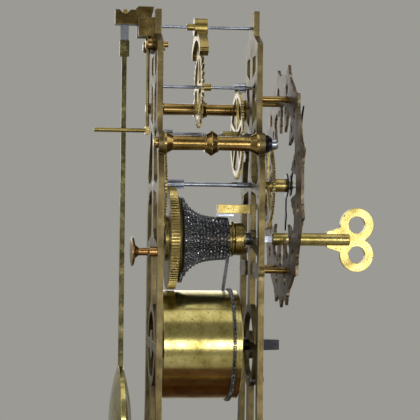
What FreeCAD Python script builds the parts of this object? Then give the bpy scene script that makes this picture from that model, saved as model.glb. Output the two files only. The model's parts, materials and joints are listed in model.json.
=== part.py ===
# Skeleton clock with a fusee movement, millimetres, +Z up, dial towards -Y.
# The origin is the centre of the base's underside. Every arbor lies along Y at X = 0.
import FreeCAD, Part
import math
import os

V = FreeCAD.Vector
X_AXIS = V(1, 0, 0)
Y_AXIS = V(0, 1, 0)
TURN = 360.0
TINY = 1e-6
HALF_TURN = 180.0

# Heights of the arbors, from the base up
BASE_HEIGHT = 26.0
FEET_TO_BARREL = 85.2
BARREL_TO_FUSEE = 56.1
FUSEE_TO_CENTRE = 28.6
CENTRE_TO_THIRD = 26.45
THIRD_TO_ESCAPE = 25.0
ESCAPE_TO_PALLET = 31.7
PALLET_TO_TOP = 8.3

Z_BARREL = BASE_HEIGHT + FEET_TO_BARREL
Z_FUSEE = Z_BARREL + BARREL_TO_FUSEE
Z_CENTRE = Z_FUSEE + FUSEE_TO_CENTRE
Z_THIRD = Z_CENTRE + CENTRE_TO_THIRD
Z_ESCAPE = Z_THIRD + THIRD_TO_ESCAPE
Z_PALLET = Z_ESCAPE + ESCAPE_TO_PALLET
Z_TOP = Z_PALLET + PALLET_TO_TOP

# Plates, and the running clearances of the movement
PLATE_GAP = 48.8
PLATE_THICK = 3.0
PIVOT_CLEAR = 0.05
END_SHAKE = 0.3
CUT_OVERRUN = 1.0

IN = PLATE_GAP / 2
OUT = IN + PLATE_THICK

# Skeleton frame, half widths of the outer edge from the top down
LIMB_WIDTH = 6.0
STRIP_HALF = 4.2
CREST_HALF = 8.0
SHOULDER_HALF = 21.0
WAIST_HALF = 34.0
FOOT_HALF = 52.0
FOOT_WIDTH = 15.0
SHOULDER_DROP = 18.0
SHOULDER_RISE = 5.0
FLARE_RISE = 34.1
FLARE_FOOT_RISE = 2.1
LEG_HEIGHT = 66.0
BARREL_RING_R = 22.0
BARREL_RING_WIDTH = 4.5
SCROLL_R = 6.4
SCROLL_HOLE_R = 3.0
BOSS_R = 6.5
BARREL_BOSS_R = 7.5
CROSS_WIDTH = 5.0
FOOT_BAR_HEIGHT = 7.0

FLARE_TOP = Z_CENTRE + FLARE_RISE
FLARE_BOTTOM = Z_CENTRE + FLARE_FOOT_RISE
LEG_TOP = BASE_HEIGHT + LEG_HEIGHT

# Pillars
PILLAR_R = 3.9
PILLAR_KNOP_R = 6.7
PILLAR_COLLAR_R = 5.9
PILLAR_FLARE = 4.6
PILLAR_WAIST_SHARE = 0.94
PILLAR_STUD_R = 2.0
MIDDLE_PILLAR_OUT = 6.6
MIDDLE_PILLAR_RISE = 20.7
SLIM_PILLAR_OUT = 3.6
SLIM_PILLAR_RISE = 41.1
SLIM_PILLAR_R = 3.3
SLIM_KNOP_R = 6.2
LOWER_PILLAR_OUT = 6.0
LOWER_PILLAR_RISE = 24.0
WASHER_R = 5.0
WASHER_THICK = 3.8
NUT_R = 2.9
NUT_LENGTH = 2.9
FOOT_BOLT_R = 1.8
FOOT_BOLT_HEAD_R = 3.2
FOOT_BOLT_HEAD = 2.4
FOOT_LUG_DEPTH = 12.0
FOOT_LUG_HEIGHT = 5.0

MIDDLE_PILLAR_X = SHOULDER_HALF + MIDDLE_PILLAR_OUT
MIDDLE_PILLAR_Z = Z_CENTRE + MIDDLE_PILLAR_RISE
UPPER_PILLAR_X = SHOULDER_HALF + SLIM_PILLAR_OUT
UPPER_PILLAR_Z = Z_CENTRE + SLIM_PILLAR_RISE
LOWER_PILLAR_X = WAIST_HALF + LOWER_PILLAR_OUT
LOWER_PILLAR_Z = BASE_HEIGHT + LOWER_PILLAR_RISE

# Base
BASE_WIDTH = 220.0
BASE_DEPTH = 150.0
BASE_STEP = 9.0
BASE_LOWER_HEIGHT = 11.0
BASE_COVE = 6.0

# Barrel and mainspring
BARREL_R = 28.5
BARREL_BACK_GAP = 1.4
BARREL_FRONT_GAP = 6.4
BARREL_WALL = 1.4
BARREL_LID = 2.0
BARREL_ARBOR_R = 3.0
BARREL_HUB_R = 7.0
BARREL_SQUARE = 6.0
BARREL_SQUARE_END = 5.2
BARREL_SQUARE_LENGTH = 13.3
SPRING_STRIP = 0.9
SPRING_TURNS = 9
SETUP_RATCHET_R = 9.0
SETUP_RATCHET_THICK = 1.6
SETUP_RATCHET_TEETH = 20
RATCHET_ROOT_SHARE = 0.86
RATCHET_SLOPE_SHARE = 0.9
CLICK_X = 12.0
CLICK_DROP = 17.5
CLICK_SCREW_R = 2.6

BARREL_BACK = IN - BARREL_BACK_GAP
BARREL_FRONT = BARREL_FRONT_GAP - IN

# Great wheel, fusee and chain
GREAT_TEETH = 96
GREAT_GAP = 4.8
GREAT_THICK = 4.2
GREAT_COLLAR_R = 12.0
COLLAR_THICK = 1.6
MAINTAIN_R = 23.8
MAINTAIN_THICK = 0.6
RATCHET_ROOM = 1.0
RATCHET_RECESS = 1.4
RATCHET_THICK = 1.8
CLICK_RECESS_R = 20.0
FUSEE_RATCHET_R = 14.0
FUSEE_RATCHET_TEETH = 24
FUSEE_LARGE_R = 22.9
FUSEE_SMALL_R = 9.8
FUSEE_CURVE_SHARE = 4.3
FUSEE_TURNS = 14
FUSEE_LENGTH = 27.3
FUSEE_ARBOR_R = 2.4
FUSEE_COLLAR_R = 3.4
FUSEE_CAP_R = 8.8
FUSEE_CAP_LENGTH = 8.6
FUSEE_CAP_STEP = 0.9
FUSEE_SQUARE = 3.36
FUSEE_SQUARE_LENGTH = 14.4
CHAIN_R = 0.65
CHAIN_SEAT = 0.12
SNAIL_R = 9.6
SNAIL_THICK = 1.0
SNAIL_GAP = 1.4
SNAIL_NOSE_RISE = 2.0
SNAIL_NOSE_WIDTH = 4.0

GREAT_BACK = IN - GREAT_GAP
GREAT_FRONT = GREAT_BACK - GREAT_THICK
FUSEE_BACK = GREAT_FRONT - RATCHET_ROOM
FUSEE_FRONT = FUSEE_BACK - FUSEE_LENGTH

# Going train: teeth and thicknesses, and the places of the wheels along the depth
CENTRE_PINION_TEETH = 8
CENTRE_TEETH = 84
THIRD_PINION_TEETH = 7
THIRD_TEETH = 77
ESCAPE_PINION_TEETH = 7
ESCAPE_TEETH = 30
WHEEL_TOOTH_SHARE = 0.44
PINION_LEAF_SHARE = 0.38
WHEEL_ADDENDUM_SHARE = 1.1
WHEEL_DEDENDUM_SHARE = 1.3
PINION_ADDENDUM_SHARE = 0.7
PINION_DEDENDUM_SHARE = 1.6
MID_FLANK_SHARE = 0.66
TIP_SHARE = 0.14
RIM_WIDTH = 2.6
SPOKE_WIDTH = 2.6
WHEEL_SPOKES = 5
SMALL_WHEEL_SPOKES = 4
WHEEL_THICK = 1.2
CENTRE_WHEEL_GAP = 1.3
CENTRE_ARBOR_R = 1.2
CENTRE_SHOULDER_R = 1.5
CENTRE_SHOULDER_LENGTH = 9.8
CENTRE_PINION_LAP = 4.4
THIRD_PINION_LAP = 5.9
THIRD_WHEEL_GAP = 7.7
ESCAPE_PINION_LAP = 1.3
ESCAPE_PINION_LENGTH = 6.2
ESCAPE_WHEEL_GAP = 20.4
ESCAPE_R = 21.7
ESCAPE_TOOTH_DEPTH = 4.6
ARBOR_R = 0.9
PIVOT_R = 0.6
COLLET_R = 1.9
HUB_R = 3.6

CENTRE_WHEEL_BACK = IN - CENTRE_WHEEL_GAP
CENTRE_PINION_FRONT = GREAT_FRONT - CENTRE_PINION_LAP
THIRD_PINION_FRONT = CENTRE_WHEEL_BACK - THIRD_PINION_LAP
THIRD_WHEEL_BACK = THIRD_WHEEL_GAP - IN
ESCAPE_PINION_BACK = THIRD_WHEEL_BACK + ESCAPE_PINION_LAP
ESCAPE_PINION_FRONT = ESCAPE_PINION_BACK - ESCAPE_PINION_LENGTH
ESCAPE_WHEEL_BACK = IN - ESCAPE_WHEEL_GAP

# Escape wheel's tooth: share of the tip radius reached, and shares of the pitch across
ESCAPE_TOOTH_SHARES = ((0, -0.34), (1, -0.04), (1, 0.04), (0, 0.2))

# Pallets and crutch
ANCHOR_LAP = 1.4
ANCHOR_THICK = 4.6
ANCHOR_SPAN = 90.0
ANCHOR_INNER_R = 24.6
ANCHOR_OUTER_R = 27.6
ANCHOR_HUB_R = 4.9
ANCHOR_HUB_THICK = 7.0
NIB_CLEAR = 0.2
NIB_ROOT = 2.6
NIB_TIP = 0.7
CRUTCH_OFFSET = 4.4
CRUTCH_R = 0.85
CRUTCH_THICK = 2.2
CRUTCH_LENGTH = 55.15
CRUTCH_PIN_R = 1.0
CRUTCH_PIN_REACH = 15.5
CRUTCH_GAP = 0.15

ANCHOR_BACK = ESCAPE_WHEEL_BACK + ANCHOR_LAP
CRUTCH_Y = OUT + CRUTCH_OFFSET
CRUTCH_PIN_Z = Z_PALLET - CRUTCH_LENGTH

# Pendulum
ROD_OFFSET = 15.9
ROD_THICK = 2.5
ROD_WIDTH = 3.4
PENDULUM_LENGTH = 209.0
BOB_R = 30.0
BOB_THICK = 12.0
SPRING_WIDTH = 4.4
SPRING_THICK = 0.3
SPRING_LENGTH = 8.4
BLOCK_HEIGHT = 8.2
BLOCK_DEPTH = 4.9
BLOCK_WIDTH = 5.0
NUT_DROP = 3.0
RATING_NUT_R = 3.4
RATING_NUT_HEIGHT = 3.0
ROD_SCREW_R = 1.2
ROD_TAIL = 8.0

ROD_Y = OUT + ROD_OFFSET
CRUTCH_PIN_END = ROD_Y + CRUTCH_PIN_REACH
BOB_Z = Z_PALLET - PENDULUM_LENGTH

# Back cock
COCK_ARM_WIDTH = 9.0
COCK_ARM_HEIGHT = 7.6
COCK_ARM_REACH = 5.1
COCK_NOTCH_DEPTH = 3.0
COCK_BLOCK_DEPTH = 9.0
COCK_CHEEK_THICK = 5.0
COCK_CHEEK_GAP = 6.0
COCK_CHEEK_RISE = 3.7
COCK_RISE = 9.6
COCK_DROP = 6.0
COCK_FOOT_THICK = 2.2
COCK_FOOT_DROP = 10.4
COCK_FOOT_WIDTH = 25.0
COCK_FOOT_HEIGHT = 7.0
COCK_SCREW_X = 8.8
COCK_LIFT = 0.3
COCK_SCREW_R = 1.6
COCK_SCREW_HEAD_R = 3.2
COCK_SCREW_HEAD = 3.2
COCK_SCREW_END = 3.4
CLAMP_PIN_R = 1.2

COCK_ARM_END = ROD_Y + COCK_ARM_REACH
COCK_BLOCK_BACK = OUT + COCK_BLOCK_DEPTH

# Motion work, hands and dial
MOTION_DISTANCE = 25.0
MOTION_ANGLE = 52.0
CANNON_TEETH = 40
MINUTE_PINION_TEETH = 8
HOUR_TEETH = 96
CANNON_GAP = 0.6
CANNON_THICK = 1.5
CANNON_PIPE_R = 2.0
HOUR_WHEEL_GAP = 3.7
HOUR_THICK = 1.3
HOUR_PIPE_R = 3.6
HOUR_PIPE_WALL = 1.5
MINUTE_STUD_R = 1.3
MINUTE_STUD_HEAD_R = 2.4
DIAL_OFFSET = 14.0
DIAL_THICK = 1.5
DIAL_OUTER_R = 59.0
DIAL_OUTER_BAND = 2.4
DIAL_INNER_BAND = 2.6
NUMERAL_HEIGHT = 10.6
NUMERAL_RISE = 0.3
NUMERAL_BAR = 1.5
DIAL_HOLE_R = 3.4
NUMERAL_SLANT_SHARE = 1.3
CREST_RISE = 6.0
CREST_HALF_WIDTH = 11.0
FRET_DEPTH = 14.4
FRET_HALF_WIDTH = 9.4
FRET_HOLE_R = 2.0
DIAL_PILLAR_X = 17.0
DIAL_PILLAR_RISE = 1.7
DIAL_PILLAR_R = 1.7
DIAL_NUT_R = 2.2
DIAL_NUT_LENGTH = 1.7
DIAL_LUG_R = 4.0
HOURS = 12
HAND_THICK = 0.8
HOUR_HAND_GAP = 0.7
HOUR_HAND_LENGTH = 24.0
HOUR_HAND_ANGLE = 176.4
HOUR_SPADE_SHARE = 0.66
HOUR_SPADE_WIDTH = 3.0
HOUR_BOSS_R = 6.6
MINUTE_HAND_GAP = 1.3
MINUTE_HAND_LENGTH = 55.0
MINUTE_HAND_ANGLE = -43.0
MINUTE_SPADE_SHARE = 0.8
MINUTE_SPADE_WIDTH = 2.6
HAND_BOSS_R = 5.6
HAND_WIDTH = 1.8
ARBOR_NOSE_LENGTH = 3.3
HAND_COLLET_R = 2.6
HAND_COLLET_THICK = 1.2

CANNON_BACK = -OUT - CANNON_GAP
HOUR_BACK = CANNON_BACK - CANNON_THICK - HOUR_WHEEL_GAP
DIAL_BACK = -OUT - DIAL_OFFSET
HOUR_HAND_BACK = DIAL_BACK - DIAL_THICK - HOUR_HAND_GAP
MINUTE_HAND_BACK = HOUR_HAND_BACK - HAND_THICK - MINUTE_HAND_GAP
ARBOR_NOSE = MINUTE_HAND_BACK - ARBOR_NOSE_LENGTH
NUMERAL_OUTER_R = DIAL_OUTER_R - DIAL_OUTER_BAND
NUMERAL_INNER_R = NUMERAL_OUTER_R - NUMERAL_HEIGHT
DIAL_INNER_R = NUMERAL_INNER_R - DIAL_INNER_BAND
DIAL_PILLAR_DZ = math.sqrt((NUMERAL_INNER_R + DIAL_PILLAR_RISE) ** 2 - DIAL_PILLAR_X ** 2)

# Outlines of the dial's ornament: shares of the half width, and of the rise from the band
CREST_SHARES = (
    (-1, 0), (-0.74, 0.06), (-0.72, 0.26), (-0.5, 0.3), (-0.48, 0.5), (-0.28, 0.54), (-0.16, 0.76), (0, 1),
    (0.16, 0.76), (0.28, 0.54), (0.48, 0.5), (0.5, 0.3), (0.72, 0.26), (0.74, 0.06), (1, 0),
)
FRET_SHARES = (
    (-1, 0), (-0.8, 0.16), (-0.56, 0.2), (-0.52, 0.42), (-0.32, 0.5), (-0.28, 0.74), (-0.12, 0.8), (0, 1),
    (0.12, 0.8), (0.28, 0.74), (0.32, 0.5), (0.52, 0.42), (0.56, 0.2), (0.8, 0.16), (1, 0),
)
FRET_HOLE_SHARE = 0.3

# Winding key
KEY_OFFSET = 9.0
KEY_PIPE_R = 3.4
KEY_WALL = 0.5
KEY_PIPE_LENGTH = 42.0
KEY_PIN_R = 0.7
KEY_PIN_OFFSET = 37.0
KEY_SOCKET = 9.0
KEY_SHOULDER_OFFSET = 29.7
KEY_SHOULDER_HALF = 4.2
KEY_BOW_WIDTH = 34.0
KEY_BOW_LENGTH = 18.0
KEY_BOW_OFFSET = 46.0
KEY_BOW_THICK = 3.2
KEY_BOW_HOLE_R = 4.6
SQUARE_CLEAR = 0.12

KEY_BACK = -OUT - KEY_OFFSET

# Stop work and the stud on the back plate
STOP_BLOCK_LENGTH = 17.4
STOP_BLOCK_HEIGHT = 4.6
STOP_BLOCK_WIDTH = 7.0
STOP_SLOT_LENGTH = 5.0
STOP_ARM_THICK = 1.2
STOP_ARM_WIDTH = 5.0
STOP_ARM_LENGTH = 8.6
STOP_ARM_GAP = 0.4
STOP_TONGUE_WIDTH = 2.2
STOP_PIN_R = 0.7
STOP_PIN_OFFSET = 2.2
REAR_STUD_DROP = 6.4
REAR_STUD_R = 2.0
REAR_STUD_HEAD_R = 7.5
REAR_STUD_LENGTH = 13.5
REAR_STUD_FOOT_R = 2.6
REAR_STUD_FOOT = 4.0
REAR_STUD_RIM = 0.8

STOP_BLOCK_BACK = STOP_BLOCK_LENGTH - IN
STOP_ARM_LOW = Z_FUSEE + SNAIL_R + SNAIL_NOSE_RISE + END_SHAKE
STOP_BLOCK_Z = STOP_ARM_LOW + STOP_ARM_THICK + STOP_ARM_GAP
STOP_PIN_Z = STOP_BLOCK_Z + STOP_BLOCK_HEIGHT / 2
STOP_PIN_Y = STOP_BLOCK_BACK - STOP_PIN_OFFSET
REAR_STUD_X = LIMB_WIDTH / 2 - WAIST_HALF
REAR_STUD_Z = Z_FUSEE - REAR_STUD_DROP


def disc(x, z, radius, y0, y1):
    """A round bar along Y between two places."""
    low = min(y0, y1)
    return Part.makeCylinder(radius, abs(y1 - y0), V(x, low, z), Y_AXIS)


def ring(x, z, outer, inner, y0, y1):
    return disc(x, z, outer, y0, y1).cut(disc(x, z, inner, y0, y1))


def block(x0, x1, y0, y1, z0, z1):
    return Part.makeBox(x1 - x0, y1 - y0, z1 - z0, V(x0, y0, z0))


def square_bar(x, z, side, y0, y1):
    half = side / 2
    return block(x - half, x + half, min(y0, y1), max(y0, y1), z - half, z + half)


def sheet(points, y0, y1):
    """A flat piece in the XZ plane from a list of (x, z), between two places along Y."""
    low = min(y0, y1)
    corners = [V(px, low, pz) for px, pz in points]
    face = Part.Face(Part.makePolygon(corners + [corners[0]]))
    return face.extrude(V(0, abs(y1 - y0), 0))


def sheet_of(edges, y0, y1):
    """A flat piece whose outline is a list of edges drawn at Y = 0."""
    low = min(y0, y1)
    solid = Part.Face(Part.Wire(edges)).extrude(V(0, abs(y1 - y0), 0))
    solid.translate(V(0, low, 0))
    return solid


def turned(x, z, profile):
    """A turned piece along Y from a list of (y, radius)."""
    ends = [V(x, profile[-1][0], z), V(x, profile[0][0], z)]
    corners = [V(x + r, y, z) for y, r in profile] + ends
    clean = [corners[0]]
    for corner in corners[1:]:
        if (corner - clean[-1]).Length > TINY:
            clean.append(corner)
    face = Part.Face(Part.makePolygon(clean + [clean[0]]))
    return face.revolve(V(x, 0, z), Y_AXIS, TURN)


def joined(solids):
    """One solid from touching or overlapping ones."""
    result = solids[0]
    if len(solids) > 1:
        result = result.multiFuse(solids[1:])
    return result.removeSplitter()


def spin(shape, x, z, degrees):
    """A copy turned about an arbor, clockwise as the dial shows it."""
    copy = shape.copy()
    copy.rotate(V(x, 0, z), Y_AXIS, degrees)
    return copy


def bar(x0, z0, x1, z1, width, y0, y1):
    """A straight flat bar with round ends."""
    length = math.hypot(x1 - x0, z1 - z0)
    nx, nz = -(z1 - z0) / length * width / 2, (x1 - x0) / length * width / 2
    flat = sheet([(x0 + nx, z0 + nz), (x1 + nx, z1 + nz), (x1 - nx, z1 - nz), (x0 - nx, z0 - nz)], y0, y1)
    return joined([flat, disc(x0, z0, width / 2, y0, y1), disc(x1, z1, width / 2, y0, y1)])


def arc_through(a, b, c):
    return Part.Arc(V(a[0], 0, a[1]), V(b[0], 0, b[1]), V(c[0], 0, c[1])).toShape()


def line_to(a, b):
    return Part.LineSegment(V(a[0], 0, a[1]), V(b[0], 0, b[1])).toShape()


def mirrored(shape):
    return shape.mirror(V(0, 0, 0), X_AXIS)


def tooth_points(teeth, pitch_r, addendum, dedendum, share, first):
    """Outline of a toothed wheel: radial flanks to the pitch circle, then two chords a side to the tip."""
    points = []
    for k in range(teeth):
        middle = first + 2 * math.pi * k / teeth
        half = share * math.pi / teeth
        steps = (
            (pitch_r - dedendum, -1),
            (pitch_r, -1),
            (pitch_r + addendum / 2, -MID_FLANK_SHARE),
            (pitch_r + addendum, -TIP_SHARE),
            (pitch_r + addendum, TIP_SHARE),
            (pitch_r + addendum / 2, MID_FLANK_SHARE),
            (pitch_r, 1),
            (pitch_r - dedendum, 1),
        )
        points += [(r * math.cos(middle + s * half), r * math.sin(middle + s * half)) for r, s in steps]
    return points


def wheel_blank(z, teeth, module, y0, y1, x=0.0, towards=math.pi / 2):
    """Solid toothed wheel with a tooth on the line towards its mate."""
    outline = tooth_points(teeth, module * teeth / 2, WHEEL_ADDENDUM_SHARE * module,
                           WHEEL_DEDENDUM_SHARE * module, WHEEL_TOOTH_SHARE, towards)
    return sheet([(x + px, z + pz) for px, pz in outline], y0, y1)


def pinion(z, leaves, module, y0, y1, x=0.0, towards=-math.pi / 2):
    """Pinion with a gap between leaves on the line towards its mate."""
    outline = tooth_points(leaves, module * leaves / 2, PINION_ADDENDUM_SHARE * module,
                           PINION_DEDENDUM_SHARE * module, PINION_LEAF_SHARE, towards + math.pi / leaves)
    return sheet([(x + px, z + pz) for px, pz in outline], y0, y1)


def spoked(blank, x, z, root_r, bore_r, hub_r, spokes, y0, y1, rim=RIM_WIDTH):
    """The wheel crossed out: spokes between a rim and a hub, with a round bore."""
    low, high = min(y0, y1) - CUT_OVERRUN, max(y0, y1) + CUT_OVERRUN
    window = ring(x, z, root_r - rim, hub_r, low, high)
    cross = [spin(block(x - SPOKE_WIDTH / 2, x + SPOKE_WIDTH / 2, low, high, z, z + root_r), x, z,
                  TURN * k / spokes) for k in range(spokes)]
    window = window.cut(joined(cross))
    return blank.cut(window).cut(disc(x, z, bore_r, low, high))


def module_of(distance, first_teeth, second_teeth):
    return 2 * distance / (first_teeth + second_teeth)


GREAT_MODULE = module_of(FUSEE_TO_CENTRE, GREAT_TEETH, CENTRE_PINION_TEETH)
CENTRE_MODULE = module_of(CENTRE_TO_THIRD, CENTRE_TEETH, THIRD_PINION_TEETH)
THIRD_MODULE = module_of(THIRD_TO_ESCAPE, THIRD_TEETH, ESCAPE_PINION_TEETH)
CANNON_MODULE = MOTION_DISTANCE / CANNON_TEETH
HOUR_MODULE = module_of(MOTION_DISTANCE, HOUR_TEETH, MINUTE_PINION_TEETH)
STUD_X = MOTION_DISTANCE * math.sin(math.radians(MOTION_ANGLE))
STUD_Z = Z_CENTRE + MOTION_DISTANCE * math.cos(math.radians(MOTION_ANGLE))


def root_radius(teeth, module):
    return module * teeth / 2 - WHEEL_DEDENDUM_SHARE * module


# Pivot holes: arbor height, pivot radius in the front plate, pivot radius in the back plate
def pivot_holes():
    return (
        (Z_BARREL, BARREL_ARBOR_R, BARREL_ARBOR_R),
        (Z_FUSEE, FUSEE_ARBOR_R, FUSEE_ARBOR_R),
        (Z_CENTRE, CENTRE_ARBOR_R, CENTRE_ARBOR_R),
        (Z_THIRD, PIVOT_R, PIVOT_R),
        (Z_ESCAPE, PIVOT_R, PIVOT_R),
        (Z_PALLET, PIVOT_R, ARBOR_R),
    )


def frame_side(y0, y1):
    """One side's limb of a plate: crest, shoulder, upper limb, flare, waist and leg."""
    shoulder_z = Z_TOP - SHOULDER_DROP
    width = LIMB_WIDTH
    outer = [
        line_to((CREST_HALF, shoulder_z + SHOULDER_RISE), (SHOULDER_HALF, shoulder_z)),
        line_to((SHOULDER_HALF, shoulder_z), (SHOULDER_HALF, FLARE_TOP)),
    ]
    middle_x = (SHOULDER_HALF + WAIST_HALF) / 2
    middle_z = (FLARE_TOP + FLARE_BOTTOM) / 2
    quarter = (WAIST_HALF - SHOULDER_HALF) / 4
    drop = (FLARE_TOP - FLARE_BOTTOM) / 4
    bulge = quarter / 2
    outer += [
        arc_through((SHOULDER_HALF, FLARE_TOP), (SHOULDER_HALF + quarter - bulge, FLARE_TOP - drop),
                    (middle_x, middle_z)),
        arc_through((middle_x, middle_z), (WAIST_HALF - quarter + bulge, FLARE_BOTTOM + drop),
                    (WAIST_HALF, FLARE_BOTTOM)),
        line_to((WAIST_HALF, FLARE_BOTTOM), (WAIST_HALF, LEG_TOP)),
        arc_through((WAIST_HALF, LEG_TOP), (WAIST_HALF + (FOOT_HALF - WAIST_HALF) / 4, (LEG_TOP + BASE_HEIGHT) / 2),
                    (FOOT_HALF, BASE_HEIGHT)),
        line_to((FOOT_HALF, BASE_HEIGHT), (FOOT_HALF - FOOT_WIDTH, BASE_HEIGHT)),
    ]
    inner_x = WAIST_HALF - width
    outer += [
        arc_through((FOOT_HALF - FOOT_WIDTH, BASE_HEIGHT),
                    (inner_x + (FOOT_HALF - FOOT_WIDTH - inner_x) / 4, (LEG_TOP + BASE_HEIGHT) / 2),
                    (inner_x, LEG_TOP)),
        line_to((inner_x, LEG_TOP), (inner_x, FLARE_BOTTOM)),
        arc_through((inner_x, FLARE_BOTTOM), (WAIST_HALF - quarter + bulge - width, FLARE_BOTTOM + drop),
                    (middle_x - width, middle_z)),
        arc_through((middle_x - width, middle_z), (SHOULDER_HALF + quarter - bulge - width, FLARE_TOP - drop),
                    (SHOULDER_HALF - width, FLARE_TOP)),
        line_to((SHOULDER_HALF - width, FLARE_TOP), (SHOULDER_HALF - width, shoulder_z - width)),
        line_to((SHOULDER_HALF - width, shoulder_z - width), (0, shoulder_z - width)),
        line_to((0, shoulder_z - width), (0, shoulder_z + SHOULDER_RISE)),
        line_to((0, shoulder_z + SHOULDER_RISE), (CREST_HALF, shoulder_z + SHOULDER_RISE)),
    ]
    return sheet_of(outer, y0, y1)


def plate(y0, y1):
    """A pierced plate with its central strip, cross bars, scrolls, bosses and the ring round the barrel arbor."""
    limb = frame_side(y0, y1)
    solids = [limb, mirrored(limb)]
    shoulder_z = Z_TOP - SHOULDER_DROP
    solids.append(block(-CREST_HALF, CREST_HALF, min(y0, y1), max(y0, y1), shoulder_z, Z_TOP))
    ring_top = Z_BARREL + BARREL_RING_R - BARREL_RING_WIDTH / 2
    solids.append(block(-STRIP_HALF, STRIP_HALF, min(y0, y1), max(y0, y1), ring_top, shoulder_z))
    solids.append(ring(0, Z_BARREL, BARREL_RING_R, BARREL_RING_R - BARREL_RING_WIDTH, y0, y1))
    for z in (Z_FUSEE, Z_CENTRE, Z_THIRD, Z_ESCAPE):
        solids.append(disc(0, z, BOSS_R, y0, y1))
    solids.append(disc(0, Z_BARREL, BARREL_BOSS_R, y0, y1))
    waist = WAIST_HALF - LIMB_WIDTH / 2
    upper = SHOULDER_HALF - LIMB_WIDTH / 2
    for side in (-1, 1):
        solids.append(bar(0, Z_BARREL, side * waist, Z_BARREL, CROSS_WIDTH, y0, y1))
        solids.append(bar(0, Z_FUSEE, side * waist, Z_FUSEE - BOSS_R, CROSS_WIDTH, y0, y1))
        solids.append(bar(0, Z_CENTRE, side * waist, FLARE_BOTTOM - LIMB_WIDTH, CROSS_WIDTH, y0, y1))
        solids.append(bar(0, Z_THIRD, side * upper, Z_THIRD + BOSS_R, CROSS_WIDTH, y0, y1))
        solids.append(bar(0, Z_ESCAPE, side * upper, Z_ESCAPE + BOSS_R, CROSS_WIDTH, y0, y1))
        scroll_x = side * (WAIST_HALF - SCROLL_R)
        solids.append(ring(scroll_x, FLARE_BOTTOM - SCROLL_R, SCROLL_R, SCROLL_HOLE_R, y0, y1))
    solids += [disc(x, z, PILLAR_COLLAR_R, y0, y1) for x, z in pillar_places()]
    bar_z = LOWER_PILLAR_Z + FOOT_BAR_HEIGHT
    solids.append(bar(-LOWER_PILLAR_X, LOWER_PILLAR_Z, 0, bar_z + BARREL_RING_WIDTH, CROSS_WIDTH, y0, y1))
    solids.append(bar(LOWER_PILLAR_X, LOWER_PILLAR_Z, 0, bar_z + BARREL_RING_WIDTH, CROSS_WIDTH, y0, y1))
    ring_bottom = Z_BARREL - BARREL_RING_R + BARREL_RING_WIDTH / 2
    solids.append(block(-STRIP_HALF, STRIP_HALF, min(y0, y1), max(y0, y1), bar_z, ring_bottom))
    solids.append(disc(0, bar_z + BARREL_RING_WIDTH, BOSS_R, y0, y1))
    return joined(solids)


def pillar_holes(y0, y1):
    return [disc(x, z, PILLAR_STUD_R, y0, y1) for x, z in pillar_places()]


def foot_lug(side, y_face, outward):
    """The toe bent out from a plate's foot, bored for the bolt into the base."""
    x = side * (FOOT_HALF - FOOT_WIDTH / 2)
    half = FOOT_WIDTH / 2
    y_end = y_face + outward * FOOT_LUG_DEPTH
    toe = block(x - half, x + half, min(y_face, y_end), max(y_face, y_end),
                BASE_HEIGHT, BASE_HEIGHT + FOOT_LUG_HEIGHT)
    hole = Part.makeCylinder(FOOT_BOLT_R, FOOT_LUG_HEIGHT + 2 * CUT_OVERRUN,
                             V(x, y_face + outward * FOOT_LUG_DEPTH / 2, BASE_HEIGHT - CUT_OVERRUN))
    return toe.cut(hole)


def make_front_plate():
    solid = plate(-OUT, -IN)
    lugs = [foot_lug(side, -OUT, -1) for side in (-1, 1)]
    lugs += [disc(side * DIAL_PILLAR_X, Z_CENTRE + DIAL_PILLAR_DZ, DIAL_LUG_R, -OUT, -IN) for side in (-1, 1)]
    reach = WAIST_HALF - LIMB_WIDTH / 2
    for side in (-1, 1):
        lugs.append(bar(side * DIAL_PILLAR_X, Z_CENTRE - DIAL_PILLAR_DZ, side * reach, Z_CENTRE - DIAL_PILLAR_DZ,
                        2 * DIAL_LUG_R, -OUT, -IN))
    limb_x = (SHOULDER_HALF + WAIST_HALF) / 2 - LIMB_WIDTH / 2
    lugs.append(bar(STUD_X, STUD_Z, limb_x, STUD_Z, CROSS_WIDTH, -OUT, -IN))
    solid = joined([solid] + lugs)
    low, high = -OUT - CUT_OVERRUN, -IN + CUT_OVERRUN
    cuts = pillar_holes(low, high)
    cuts += [disc(0, z, front + PIVOT_CLEAR, low, high) for z, front, back in pivot_holes()]
    cuts += [disc(side * DIAL_PILLAR_X, Z_CENTRE + lift * DIAL_PILLAR_DZ, DIAL_PILLAR_R / 2, low, high)
             for side in (-1, 1) for lift in (-1, 1)]
    cuts.append(disc(STUD_X, STUD_Z, MINUTE_STUD_R, low, high))
    cuts.append(disc(-CLICK_X, Z_BARREL - CLICK_DROP, CLICK_SCREW_R / 2, low, high))
    return solid.cut(Part.makeCompound(cuts))


def make_back_plate():
    solid = plate(IN, OUT)
    lugs = [foot_lug(side, OUT, 1) for side in (-1, 1)]
    lugs += [disc(side * COCK_SCREW_X, cock_screw_z(), COCK_FOOT_HEIGHT / 2, IN, OUT) for side in (-1, 1)]
    solid = joined([solid] + lugs)
    low, high = IN - CUT_OVERRUN, OUT + CUT_OVERRUN
    cuts = pillar_holes(low, high)
    cuts += [disc(0, z, back + PIVOT_CLEAR, low, high) for z, front, back in pivot_holes()]
    cuts += [disc(side * COCK_SCREW_X, cock_screw_z(), COCK_SCREW_R, low, high) for side in (-1, 1)]
    cuts.append(disc(REAR_STUD_X, REAR_STUD_Z, REAR_STUD_R / 2, low, high))
    return solid.cut(Part.makeCompound(cuts))


def cock_screw_z():
    return Z_PALLET - COCK_FOOT_DROP


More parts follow.
